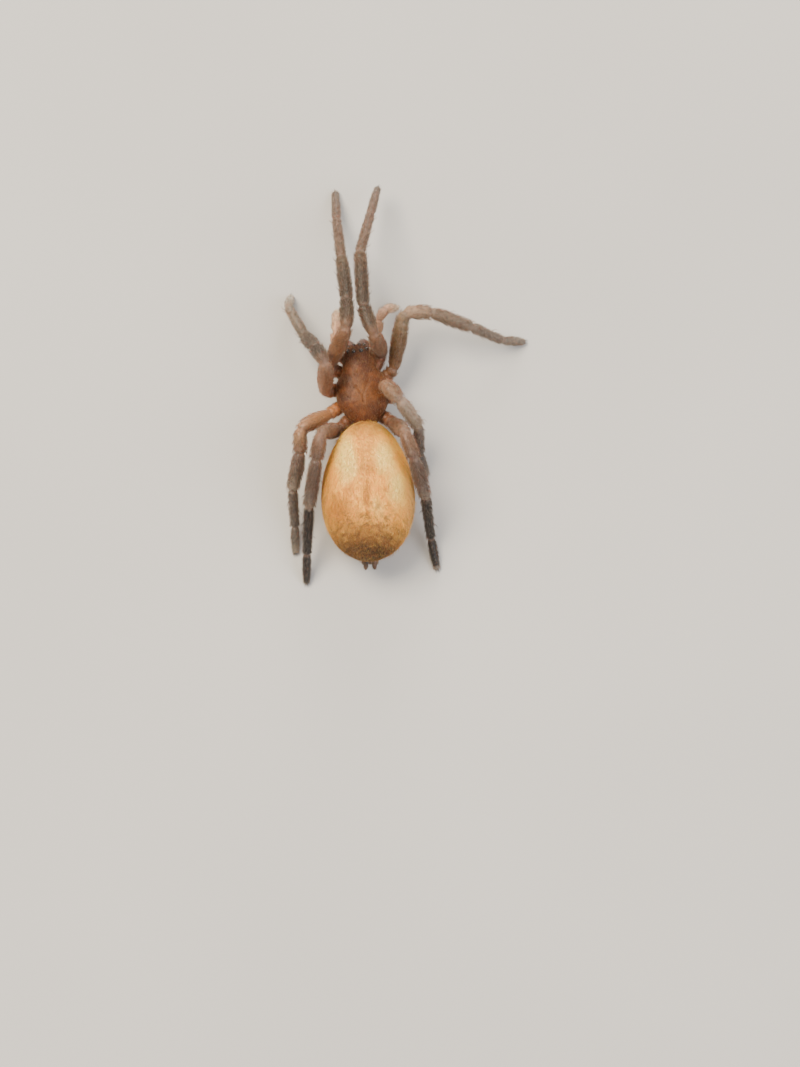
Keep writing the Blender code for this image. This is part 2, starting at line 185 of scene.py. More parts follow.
# A soft-edged oval of 1 in the pattern's coordinates, fading to 0
def ovalMask(tree, coords, middle, size, solid=0.3, turn=0.0):
    local = addNode(tree, "Mapping", {
        "Vector": coords, "Location": middle, "Rotation": (0, 0, math.radians(turn)), "Scale": size,
    }, vector_type="TEXTURE")
    far = addNode(tree, "VectorMath", {0: local}, operation="LENGTH").outputs["Value"]
    return remap(tree, far, (solid, 1.0), (1.0, 0.0), eased=True).outputs["Result"]


# Lays a colour over another where the mask says, at a given strength
def lay(tree, under, colour, mask, strength=1.0):
    amount = maths(tree, "MULTIPLY", mask, strength)
    if isinstance(colour, str):
        colour = hexColour(colour)
    return addNode(tree, "Mix", {0: amount, 6: under, 7: colour}, data_type="RGBA").outputs[2]


# Legs: brown translucent cuticle, tanned harder and greyer toward the feet, pale at the joints.
# Tones run along each leg, by segment: 0 coxa, 1 femur, 2 patella, 3 tibia, 4 metatarsus, 5 tarsus.
# The second and third pairs each have a table for the left leg and one for the right: where these differ, the
# difference is painted light and painted shade.
legTones = {
    "front": ((0.0, "#834C27"), (0.9, "#865030"), (1.5, "#7B512E"), (1.95, "#714F34"),
              (2.3, "#453525"), (2.85, "#362A1D"), (3.1, "#352A1D"), (3.6, "#392D20"),
              (3.95, "#574430"), (4.1, "#604B3C"), (5.0, "#675143"), (6.0, "#64584E")),
    # Left and right second legs: where they differ, it is painted light and painted shade
    "secondLeft": ((0.0, "#99592D"), (0.9, "#985D35"), (1.5, "#8A5936"), (2.0, "#765843"),
                   (2.4, "#332A22"), (3.5, "#31281E"), (3.95, "#494135"), (4.1, "#645A4F"),
                   (5.0, "#7F7364"), (6.0, "#C4BBAD")),
    "secondRight": ((0.0, "#77431F"), (0.9, "#633F1F"), (1.5, "#5B4325"), (1.95, "#76644C"),
                    (2.1, "#987D64"), (2.8, "#8A715A"), (3.1, "#695949"), (3.9, "#685B4E"),
                    (4.5, "#62584E"), (6.0, "#70675C")),
    # Left and right third legs: where they differ, it is painted light and painted shade
    "thirdLeft": ((0.0, "#9E5828"), (0.9, "#B4743F"), (1.5, "#AE7A4C"), (1.9, "#A17756"), (2.3, "#906E4F"),
                  (2.9, "#785D4B"), (3.1, "#65534A"), (3.6, "#5F5247"), (3.8, "#74685C"),
                  (3.97, "#857A6C"), (4.1, "#544C46"), (4.9, "#544F4A"), (5.6, "#5E5952"),
                  (6.0, "#867C6E")),
    "thirdRight": ((0.0, "#925024"), (0.9, "#9A6036"), (1.5, "#8B5F3C"), (1.9, "#825A3A"), (2.3, "#76563A"),
                   (2.9, "#86705C"), (3.1, "#9A8672"), (3.6, "#94826F"), (3.8, "#8C7E6C"),
                   (3.97, "#877A6C"), (4.1, "#5C524A"), (4.9, "#544E48"), (5.6, "#57514A"),
                   (6.0, "#867C6E")),
    "fourth": ((0.0, "#7D441F"), (0.9, "#71482D"), (1.5, "#6C4A30"), (1.95, "#6E5038"),
               (2.2, "#735440"), (2.6, "#644832"), (3.05, "#514036"), (3.5, "#4C3B30"),
               # Painted shade: the near-black tones from 4.08 to 5.9 on the fourth metatarsi
               (3.75, "#554B45"), (3.95, "#665C50"), (4.08, "#15110E"), (4.45, "#171411"),
               (4.65, "#1A1815"), (5.9, "#25221E"), (6.0, "#6A6358")),
    "palp": ((0.0, "#925732"), (1.0, "#AB7753"), (2.0, "#C79A7A"), (3.0, "#CB9E7D"), (4.2, "#D9B08F"),
             (5.0, "#E8CCAA")),
}


# An amount scaled down where a colour is dark, so that near-black tones, such as the painted shade on the
# fourth metatarsi, aren't greyed
def paleness(tree, colour, amount):
    grey = addNode(tree, "RGBToBW", {0: colour})
    share = remap(tree, grey, (0.01, 0.1), (0.12, 1.0))
    return maths(tree, "MULTIPLY", amount, share)


# The colour along a limb, from the attribute "place", with the joints and the mottling
def limbColour(tree, tones, span):
    place = addNode(tree, "Attribute", attribute_name="place").outputs["Fac"]
    joint = addNode(tree, "Attribute", attribute_name="joint").outputs["Fac"]
    spot = bodyCoords(tree)
    blotch = addNode(tree, "TexNoise", {"Vector": spot, "Scale": 3.2, "Detail": 4.0, "Roughness": 0.6})
    wander = remap(tree, blotch, (0.3, 0.7), (-0.12, 0.12))
    along = maths(tree, "ADD", place, wander)
    share = maths(tree, "DIVIDE", along, span)
    stops = [(at / span, tone) for at, tone in tones]
    colour = addNode(tree, "ValToRGB", {"Fac": share}, stops=stops).outputs[0]
    speck = addNode(tree, "TexNoise", {"Vector": spot, "Scale": 9.0, "Detail": 3.0, "Roughness": 0.65})
    dark = remap(tree, speck, (0.48, 0.72), (0.0, 0.5), eased=True)
    light = remap(tree, speck, (0.5, 0.3), (0.0, 0.35), eased=True)
    shaded = lay(tree, colour, "#1E130C", dark.outputs["Result"])
    lifted = lay(tree, shaded, "#8A6A54", paleness(tree, colour, light))
    return lay(tree, lifted, "#85695A", joint, 0.35), spot


# Leg cuticle: thin tanned chitin over pale flesh. Waxy, see-through at the edges, with the
# sockets of the hairs as fine pits 0.07 mm apart
def limbSkin(name, tones, span):
    material, tree, shader = newMaterial(name, {
        "Roughness": 0.5, "IOR": 1.45, "Subsurface Weight": 0.45, "Subsurface Scale": 0.22 * mm,
        "Subsurface Radius": (1.0, 0.5, 0.3), "Sheen Weight": 0.3, "Sheen Roughness": 0.45,
        "Sheen Tint": hexColour("#E6D2BE"),
    })
    colour, spot = limbColour(tree, tones, span)
    pits = addNode(tree, "TexVoronoi", {"Vector": spot, "Scale": 1 / 0.07}).outputs["Distance"]
    ridges = addNode(tree, "TexNoise", {"Vector": spot, "Scale": 1 / 0.12, "Detail": 3.0})
    relief = maths(tree, "ADD", pits, ridges)
    bump = addNode(tree, "Bump", {"Height": relief, "Strength": 0.3, "Distance": 0.02 * mm})
    gloss = remap(tree, ridges, (0.3, 0.7), (0.42, 0.6))
    tree.links.new(colour, shader.inputs["Base Color"])
    tree.links.new(gloss.outputs["Result"], shader.inputs["Roughness"])
    tree.links.new(bump.outputs[0], shader.inputs["Normal"])
    return material


# Hairs of a limb: fine see-through setae in the tone of the skin they stand on, its painted light and shade
# included, paler to the tip
def limbCoat(name, tones, span):
    material, tree, shader = newMaterial(name, {
        "Roughness": 0.5, "IOR": 1.45, "Subsurface Weight": 0.3, "Subsurface Scale": 0.05 * mm,
        "Sheen Weight": 0.35, "Sheen Roughness": 0.4, "Sheen Tint": hexColour("#EAD8C4"),
    })
    colour, _ = limbColour(tree, tones, span)
    tip = addNode(tree, "Attribute", attribute_name="tip").outputs["Fac"]
    bleach = remap(tree, tip, (0.0, 1.0), (0.0, 0.5))
    pale = addNode(tree, "Mix", {0: paleness(tree, colour, bleach), 6: colour, 7: hexColour("#B2916E")},
                   data_type="RGBA").outputs[2]
    shade = addNode(tree, "Attribute", attribute_name="shade").outputs["Fac"]
    dark = remap(tree, shade, (0.0, 1.0), (0.55, 0.0))
    final = addNode(tree, "Mix", {0: dark, 6: pale, 7: hexColour("#241812")}, data_type="RGBA").outputs[2]
    tree.links.new(final, shader.inputs["Base Color"])
    return material


abdomen = {
    "length": 5.64, "width": 3.72, "height": 3.2,
    "middle": Vector((-0.33, -4.41, 1.98)),
    "swing": math.radians(-5.8), "rise": math.radians(4.0),
    "taper": 0.13, "below": 0.94, "above": 1.03,
    "coatDepth": 0.03,
    "around": 128, "along": 96,
    "hairs": 39000, "hairLength": (0.1, 0.17), "hairRadius": (0.0045, 0.007), "hairTilt": (9.0, 26.0),
    "cream": "#FFB84A", "creamLow": "#F0A03A", "lobe": "#FFDC7A", "band": "#E29E40", "wedge": "#AE661C",
    "apex": "#AC7630", "leftFlankShade": "#BE7A34", "rightFlankSheen": "#D49E64", "rear": "#80522A",
    "rearDark": "#1E0F06", "paleSpot": "#D49E50", "belly": "#6E4C2C", "streak": "#7A4A1E",
}


# The markings of the abdomen, with painted light and shade laid in among them, in coordinates that run from
# -1 to 1 across and along it
def abdomenPattern(tree):
    look = abdomen
    flat = bodyCoords(tree, look["middle"], (look["rise"], 0.0, look["swing"]),
                      (look["width"] / 2, look["length"] / 2, look["height"] / 2))
    spot = bodyCoords(tree)
    wave = addNode(tree, "TexNoise", {"Vector": spot, "Scale": 1.3, "Detail": 3.0})
    centred = addNode(tree, "VectorMath", {0: wave.outputs["Color"], 1: (0.5, 0.5, 0.5)},
                      operation="SUBTRACT")
    warp = addNode(tree, "VectorMath", {0: centred, "Scale": 0.22}, operation="SCALE")
    coords = addNode(tree, "VectorMath", {0: flat, 1: warp}, operation="ADD").outputs[0]

    # Pale cells of the gut show through as soft speckles about 0.2 mm wide
    cells = addNode(tree, "TexVoronoi", {"Vector": spot, "Scale": 1 / 0.24, "Smoothness": 0.7},
                    feature="SMOOTH_F1").outputs["Distance"]
    pale = remap(tree, cells, (0.2, 0.6), (0.0, 0.3))
    colour = addNode(tree, "Mix", {0: pale, 6: hexColour(look["cream"]), 7: hexColour(look["creamLow"])},
                     data_type="RGBA").outputs[2]
    masks = (
        # Painted shade darkens the left flank; a painted sheen pales and greys the right flank
        ("leftFlankShade", (-1.0, 0.1, 0.1), (0.46, 0.95, 1.0), 0.1, 0, 0.8),
        ("rightFlankSheen", (1.0, -0.2, 0.1), (0.46, 0.85, 1.0), 0.1, 0, 0.8),
        ("apex", (0.05, 0.95, 0.4), (0.7, 0.38, 1.4), 0.25, 0, 0.8),
        # The pale lobes are real pale patches, brightened further by a painted highlight
        ("lobe", (-0.47, 0.5, 0.9), (0.34, 0.46, 1.2), 0.3, 10, 0.95),
        ("lobe", (-0.4, 0.22, 0.9), (0.34, 0.24, 1.2), 0.2, 30, 0.75),
        ("lobe", (0.36, 0.42, 0.9), (0.36, 0.34, 1.2), 0.3, -20, 0.9),
        ("lobe", (0.62, -0.02, 0.9), (0.3, 0.42, 1.2), 0.2, 10, 0.85),
        ("lobe", (0.2, -0.3, 0.9), (0.2, 0.22, 1.2), 0.2, 0, 0.4),
        ("band", (-0.02, 0.66, 0.9), (0.24, 0.4, 1.2), 0.35, 0, 0.75),
        ("band", (0.0, 0.3, 0.9), (0.3, 0.2, 1.2), 0.3, 0, 0.7),
        ("band", (-0.06, 0.16, 0.9), (0.1, 0.3, 1.2), 0.3, 0, 0.5),
        ("wedge", (0.0, 0.22, 0.9), (0.42, 0.13, 1.2), 0.1, 0, 0.4),
        ("wedge", (0.0, -0.16, 0.9), (0.13, 0.3, 1.2), 0.2, 0, 0.65),
        ("wedge", (-0.4, -0.1, 0.9), (0.26, 0.1, 1.2), 0.1, -25, 0.4),
        ("wedge", (0.36, -0.06, 0.9), (0.14, 0.08, 1.2), 0.1, 20, 0.35),
        ("wedge", (-0.66, -0.36, 0.8), (0.42, 0.36, 1.2), 0.15, -20, 0.75),
        ("wedge", (-0.2, -0.42, 0.8), (0.3, 0.14, 1.2), 0.1, 0, 0.3),
        # The rear oval is the browner rear, deepened by painted shade toward the end; the darker oval after
        # it is painted shade at the rear base
        ("rear", (-0.1, -0.93, 0.3), (1.25, 0.62, 1.4), 0.45, 0, 0.85),
        ("rearDark", (-0.14, -1.04, 0.2), (1.2, 0.44, 1.3), 0.35, 0, 1.0),
        # The belly is brown underneath, deepened further by painted shade
        ("belly", (0.0, 0.0, -1.3), (1.5, 1.5, 1.1), 0.3, 0, 0.85),
    )
    for tone, middle, size, solid, turn, strength in masks:
        colour = lay(tree, colour, look[tone], ovalMask(tree, coords, middle, size, solid, turn), strength)

    # Broken chevrons across the rear: noise drawn out along slanting rows, dark flecks and pale ones
    parts = addNode(tree, "SeparateXYZ", {0: coords})
    spread = maths(tree, "ABSOLUTE", parts.outputs["X"])
    bend = maths(tree, "MULTIPLY", spread, 0.35)
    slant = maths(tree, "ADD", parts.outputs["Y"], bend)
    long = maths(tree, "MULTIPLY", parts.outputs["X"], 5.0)
    short = maths(tree, "MULTIPLY", slant, 15.0)
    rows = addNode(tree, "CombineXYZ", {0: long, 1: short, 2: 0.0})
    flecks = addNode(tree, "TexNoise", {"Vector": rows, "Scale": 1.0, "Detail": 3.0, "Roughness": 0.7})
    zone = ovalMask(tree, coords, (-0.06, -0.74, 0.7), (1.15, 0.6, 1.3), 0.45)
    darkRows = remap(tree, flecks, (0.5, 0.66), (0.0, 0.6), eased=True)
    paleRows = remap(tree, flecks, (0.46, 0.32), (0.0, 0.6), eased=True)
    darkHere = maths(tree, "MULTIPLY", darkRows, zone)
    paleHere = maths(tree, "MULTIPLY", paleRows, zone)
    # The dark flecks share the near-black tone of the painted shade at the rear base
    colour = lay(tree, colour, look["rearDark"], darkHere.outputs[0])
    colour = lay(tree, colour, look["paleSpot"], paleHere.outputs[0])

    # Soft clouds about 0.25 mm wide, brown and pale, over the rear half
    cloud = addNode(tree, "TexNoise", {"Vector": spot, "Scale": 3.6, "Detail": 3.0, "Roughness": 0.6})
    rearHalf = ovalMask(tree, coords, (-0.1, -0.85, 0.6), (1.3, 0.85, 1.5), 0.45)
    for tone, start, end, most in (("rear", 0.5, 0.64, 0.65), ("paleSpot", 0.46, 0.34, 0.35)):
        patch = remap(tree, cloud, (start, end), (0.0, most), eased=True)
        patchHere = maths(tree, "MULTIPLY", patch, rearHalf)
        colour = lay(tree, colour, look[tone], patchHere.outputs[0])

    # The flanks are clouded with brown, in broken streaks that run down and back from the upper side
    level = addNode(tree, "SeparateXYZ", {0: flat}).outputs
    sink = maths(tree, "MULTIPLY", level["Z"], 0.6)
    fall = maths(tree, "SUBTRACT", level["Y"], sink)
    close = maths(tree, "MULTIPLY", fall, 13.0)
    far = maths(tree, "MULTIPLY", level["Z"], 3.2)
    flank = addNode(tree, "CombineXYZ", {0: level["X"], 1: close, 2: far})
    clouds = addNode(tree, "TexNoise", {"Vector": flank, "Scale": 1.0, "Detail": 4.0, "Roughness": 0.65})
    streaks = remap(tree, clouds, (0.46, 0.66), (0.0, 0.75), eased=True)
    under = remap(tree, level["Z"], (0.62, 0.2), eased=True)
    streakHere = maths(tree, "MULTIPLY", streaks, under)
    colour = lay(tree, colour, look["streak"], streakHere.outputs[0])
    return colour, spot


# Abdomen skin: soft, stretched, velvety cuticle over pale fat. Matt, warm and faintly see-through
def abdomenSkin():
    material, tree, shader = newMaterial("abdomenSoftCuticle", {
        "Roughness": 0.6, "IOR": 1.45, "Subsurface Weight": 0.35, "Subsurface Scale": 0.2 * mm,
        "Subsurface Radius": (1.0, 0.6, 0.3), "Sheen Weight": 0.12, "Sheen Roughness": 0.5,
        "Sheen Tint": hexColour("#FFCE8C"),
    })
    colour, spot = abdomenPattern(tree)
    crease = addNode(tree, "TexNoise", {"Vector": spot, "Scale": 1 / 0.16, "Detail": 4.0, "Roughness": 0.6})
    grain = addNode(tree, "TexVoronoi", {"Vector": spot, "Scale": 1 / 0.05}).outputs["Distance"]
    relief = maths(tree, "ADD", crease, grain)
    bump = addNode(tree, "Bump", {"Height": relief, "Strength": 0.35, "Distance": 0.03 * mm})
    tree.links.new(colour, shader.inputs["Base Color"])
    tree.links.new(bump.outputs[0], shader.inputs["Normal"])
    return material


# Abdomen hairs: a short velvet of pale setae that carries the skin's own markings, painted light and shade
# included
def abdomenCoat():
    material, tree, shader = newMaterial("abdomenVelvetSetae", {
        "Roughness": 0.45, "IOR": 1.5, "Subsurface Weight": 0.3, "Subsurface Scale": 0.05 * mm,
    })
    colour, _ = abdomenPattern(tree)
    tip = addNode(tree, "Attribute", attribute_name="tip").outputs["Fac"]
    bleach = remap(tree, tip, (0.0, 1.0), (0.0, 0.25))
    pale = addNode(tree, "Mix", {0: bleach, 6: colour, 7: hexColour("#FFD076")}, data_type="RGBA").outputs[2]
    shade = addNode(tree, "Attribute", attribute_name="shade").outputs["Fac"]
    dark = remap(tree, shade, (0.0, 1.0), (0.14, 0.0))
    final = addNode(tree, "Mix", {0: dark, 6: pale, 7: hexColour("#8A5220")}, data_type="RGBA").outputs[2]
    tree.links.new(final, shader.inputs["Base Color"])
    return material


carapace = {
    "length": 3.45, "width": 2.2, "height": 0.68, "underside": carapaceUnderside,
    "widths": ((-1.0, 0.80), (-0.3, 1.0), (0.05, 0.95), (0.45, 0.63), (1.0, 0.60)),
    "heights": ((-1.0, 0.62), (-0.35, 0.90), (0.15, 0.90), (0.55, 1.0), (1.0, 0.92)),
    "headBluntness": 3.4, "rearBluntness": 2.3, "domePower": 0.85,
    "around": 160, "along": 120, "hairs": 3600,
    "fovea": (0.0, -0.62),       # the pit of the back, where the grooves meet
    # glow is the tone of the painted glow over the thorax, and of the pale clouds of the mottle
    "deep": "#4A260F", "tone": "#5E3115", "pale": "#78451E", "glow": "#935C26", "ray": "#3A1B0B",
    "rim": "#260F05", "head": "#573524",
}


# Carapace: tanned chitin shield, thin and faintly see-through. Smooth with a low waxy shine, darker
# rays where the muscles are fixed under it. A paler orange over the middle of the thorax is a painted glow.
def carapaceShell():
    material, tree, shader = newMaterial("carapaceTannedChitin", {
        "Roughness": 0.58, "IOR": 1.4, "Subsurface Weight": 0.35, "Subsurface Scale": 0.15 * mm,
        "Subsurface Radius": (1.0, 0.45, 0.2), "Coat Weight": 0.05, "Coat Roughness": 0.3,
    })
    look = carapace
    spot = bodyCoords(tree)
    blotch = addNode(tree, "TexNoise", {"Vector": spot, "Scale": 2.6, "Detail": 4.0, "Roughness": 0.6})
    colour = addNode(tree, "ValToRGB", {"Fac": blotch}, stops=[
        (0.3, look["deep"]), (0.5, look["tone"]), (0.7, look["pale"])]).outputs[0]
    # Painted glow: a paler orange laid over the middle of the thorax
    paintedGlowMask = ovalMask(tree, spot, (0.0, -0.35, 2.0), (0.8, 1.1, 2.0), 0.15)
    colour = lay(tree, colour, look["glow"], paintedGlowMask, 0.36)
    head = ovalMask(tree, spot, (0.0, 1.25, 2.0), (0.9, 0.75, 2.0), 0.3)
    colour = lay(tree, colour, look["head"], head, 0.75)
    # Small clouds of darker and paler chitin, about 0.15 mm across
    mottle = addNode(tree, "TexNoise", {"Vector": spot, "Scale": 6.5, "Detail": 4.0, "Roughness": 0.65})
    dim = remap(tree, mottle, (0.52, 0.68), (0.0, 0.4), eased=True)
    lit = remap(tree, mottle, (0.47, 0.32), (0.0, 0.3), eased=True)
    colour = lay(tree, colour, look["ray"], dim.outputs["Result"])
    colour = lay(tree, colour, look["glow"], lit.outputs["Result"])
    # Dark rays spread from the fovea and fade toward it
    centred = addNode(tree, "VectorMath", {0: spot, 1: (look["fovea"][0], look["fovea"][1], 0.0)},
                      operation="SUBTRACT")
    parts = addNode(tree, "SeparateXYZ", {0: centred})
    angle = maths(tree, "ARCTAN2", parts.outputs["X"], parts.outputs["Y"])
    fan = maths(tree, "MULTIPLY", angle, 8.0)
    shake = addNode(tree, "TexNoise", {"Vector": spot, "Scale": 4.0, "Detail": 2.0})
    loose = remap(tree, shake, (0.0, 1.0), (-2.0, 2.0))
    phase = maths(tree, "ADD", fan, loose)
    beat = maths(tree, "SINE", phase)
    rays = remap(tree, beat, (0.2, 1.0), eased=True)
    inner = ovalMask(tree, centred.outputs[0], (0.0, 0.0, 1.5), (0.95, 1.0, 3.0), 0.25)
    outer = maths(tree, "SUBTRACT", 1.0, inner)
    rayHere = maths(tree, "MULTIPLY", rays, outer)
    colour = lay(tree, colour, look["ray"], rayHere.outputs[0], 0.38)
    low = addNode(tree, "SeparateXYZ", {0: spot}).outputs["Z"]
    rim = remap(tree, low, (1.62, 1.44))
    colour = lay(tree, colour, look["rim"], rim.outputs["Result"], 0.7)
    fine = addNode(tree, "TexNoise", {"Vector": spot, "Scale": 1 / 0.05, "Detail": 3.0})
    bump = addNode(tree, "Bump", {"Height": fine, "Strength": 0.22, "Distance": 0.015 * mm})
    tree.links.new(colour, shader.inputs["Base Color"])
    tree.links.new(bump.outputs[0], shader.inputs["Normal"])
    return material


# Hard small parts of tanned chitin: jaws, fangs, claws, sternum and mouth plates
def hardChitin(name, deep, light, roughness, grainSize, glow=0.15):
    material, tree, shader = newMaterial(name, {
        "Roughness": roughness, "IOR": 1.54, "Subsurface Weight": glow, "Subsurface Scale": 0.12 * mm,
        "Subsurface Radius": (1.0, 0.35, 0.15), "Coat Weight": 0.3, "Coat Roughness": 0.15,
    })
    spot = bodyCoords(tree)
    cloud = addNode(tree, "TexNoise", {"Vector": spot, "Scale": 0.4 / grainSize, "Detail": 4.0})
    colour = addNode(tree, "ValToRGB", {"Fac": cloud}, stops=[(0.35, deep), (0.65, light)])
    fine = addNode(tree, "TexNoise", {"Vector": spot, "Scale": 1 / grainSize, "Detail": 2.0})
    bump = addNode(tree, "Bump", {"Height": fine, "Strength": 0.25, "Distance": 0.01 * mm})
    tree.links.new(colour.outputs[0], shader.inputs["Base Color"])
    tree.links.new(bump.outputs[0], shader.inputs["Normal"])
    return material


# Eye: a clear domed lens over dark retina, wet-looking, with a faint amber depth
def eyeLens():
    material, tree, shader = newMaterial("eyeCornea", {
        "Roughness": 0.06, "IOR": 1.45, "Coat Weight": 1.0, "Coat Roughness": 0.03,
    })
    spot = bodyCoords(tree)
    cloud = addNode(tree, "TexNoise", {"Vector": spot, "Scale": 14.0, "Detail": 2.0})
    colour = addNode(tree, "ValToRGB", {"Fac": cloud}, stops=[(0.35, "#0D0806"), (0.7, "#2C1A10")])
    tree.links.new(colour.outputs[0], shader.inputs["Base Color"])
    return material


# Plain coats of the head, jaws and spinnerets: brownish see-through setae
def plainCoat(name, root, tipTone):
    material, tree, shader = newMaterial(name, {
        "Roughness": 0.42, "IOR": 1.5, "Subsurface Weight": 0.2, "Subsurface Scale": 0.05 * mm,
    })
    tip = addNode(tree, "Attribute", attribute_name="tip").outputs["Fac"]
    shade = addNode(tree, "Attribute", attribute_name="shade").outputs["Fac"]
    mixed = maths(tree, "MULTIPLY", tip, shade)
    colour = addNode(tree, "ValToRGB", {"Fac": mixed}, stops=[(0.0, root), (1.0, tipTone)])
    tree.links.new(colour.outputs[0], shader.inputs["Base Color"])
    return material


# Floor: matt pale studio board, with a faint tooth
def floorBoard():
    material, tree, shader = newMaterial("studioBoard", {"Roughness": 0.85})
    spot = bodyCoords(tree)
    cloud = addNode(tree, "TexNoise", {"Vector": spot, "Scale": 0.05, "Detail": 2.0})
    colour = addNode(tree, "ValToRGB", {"Fac": cloud}, stops=[(0.3, "#BDBBB6"), (0.7, "#C3C1BC")])
    tree.links.new(colour.outputs[0], shader.inputs["Base Color"])
    return material


# Making pieces


def linkPiece(name, mesh, material, nodes):
    piece = bpy.data.objects.new(name, mesh)
    bpy.context.scene.collection.objects.link(piece)
    mesh.materials.append(material)
    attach(piece, "root")
    if nodes:
        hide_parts(*nodes)
    return piece


# Turns a bmesh in millimetres into a piece in place, smooth, with its faces pointing out
def finishPiece(name, bm, material, nodes=()):
    bmesh.ops.recalc_face_normals(bm, faces=bm.faces)
    bmesh.ops.transform(bm, matrix=toRow, verts=bm.verts)
    mesh = bpy.data.meshes.new(name)
    bm.to_mesh(mesh)
    bm.free()
    mesh.shade_smooth()
    return linkPiece(name, mesh, material, nodes)


# Carries a unit circle to a ring of a tube, which has a centre, directions and half widths
def ringMatrix(ring):
    across, up, along = ring["across"], ring["up"], ring["along"]
    turn = Matrix((across * ring["wide"], up * ring["tall"], along)).transposed().to_4x4()
    turn.translation = ring["centre"]
    return turn


# Directions for a line of points, carried along it without twisting
def ringFrames(points, start=Vector((0, 0, 1))):
    rings = []
    up = start
    for index, point in enumerate(points):
        ahead = points[min(index + 1, len(points) - 1)] - points[max(index - 1, 0)]
        along = ahead.normalized()
        up = (up - along * up.dot(along)).normalized()
        rings.append({"centre": point, "along": along, "up": up, "across": up.cross(along)})
    return rings


# A closed tube through rings: a circle drawn out ring by ring, its two ends capped
def loft(bm, rings, around, layers=()):
    stores = {name: bm.verts.layers.float.get(name) or bm.verts.layers.float.new(name) for name in layers}
    first = bmesh.ops.create_circle(bm, cap_ends=False, segments=around, radius=1.0)["verts"]
    edges = list({edge for vert in first for edge in vert.link_edges})
    verts = first
    place = Matrix.Identity(4)
    start = list(edges)
    for ring in rings:
        if ring is not rings[0]:
            grown = bmesh.ops.extrude_edge_only(bm, edges=edges)["geom"]
            verts = [item for item in grown if isinstance(item, bmesh.types.BMVert)]
            edges = [item for item in grown if isinstance(item, bmesh.types.BMEdge)]
            known = set(verts)
            edges = [edge for edge in edges if edge.verts[0] in known and edge.verts[1] in known]
        target = ringMatrix(ring)
        bmesh.ops.transform(bm, matrix=target @ place.inverted(), verts=verts)
        place = target
        for name, store in stores.items():
            for vert in verts:
                vert[store] = ring[name]
    bmesh.ops.holes_fill(bm, edges=start + edges, sides=0)


# Points of a smooth line through stations of (place, radius)
def smoothLine(stations, step):
    points = [Vector(place) for place, _ in stations]
    sizes = [size for _, size in stations]
    line, widths = [], []
    last = len(points) - 1
    for index in range(last):
        before = points[max(index - 1, 0)]
        start, end = points[index], points[index + 1]
        after = points[min(index + 2, last)]
        count = max(2, round((end - start).length / step))
        for part in range(count + (index == last - 1)):
            t = part / count
            square = (2 * before - 5 * start + 4 * end - after) * t * t
            cube = (3 * start - before - 3 * end + after) * t * t * t
            line.append(0.5 * (2 * start + (end - before) * t + square + cube))
            ease = t * t * (3 - 2 * t)
            widths.append(sizes[index] + (sizes[index + 1] - sizes[index]) * ease)
    return line, widths


# Rounds off the end of a tube with shrinking rings
def roundEnd(line, widths, reach):
    ahead = (line[-1] - line[-2]).normalized()
    tip, width = line[-1], widths[-1]
    for share in (0.35, 0.65, 0.86, 0.97):
        line.append(tip + ahead * reach * share)
        widths.append(width * math.sqrt(1 - share * share))


def tubeRings(line, widths, flat=1.0):
    rings = ringFrames(line)
    for ring, width in zip(rings, widths):
        ring["wide"] = width
        ring["tall"] = width * flat
    return rings


# Coats: thin closed hairs of seven points each, joined in one mesh

hairFoot = 0.012       # how deep a hair is set in the skin
hairFloor = 0.002      # the least height of a hair, so that none reaches under the floor


def unit(rows):
    return rows / np.maximum(np.linalg.norm(rows, axis=1, keepdims=True), 1e-9)


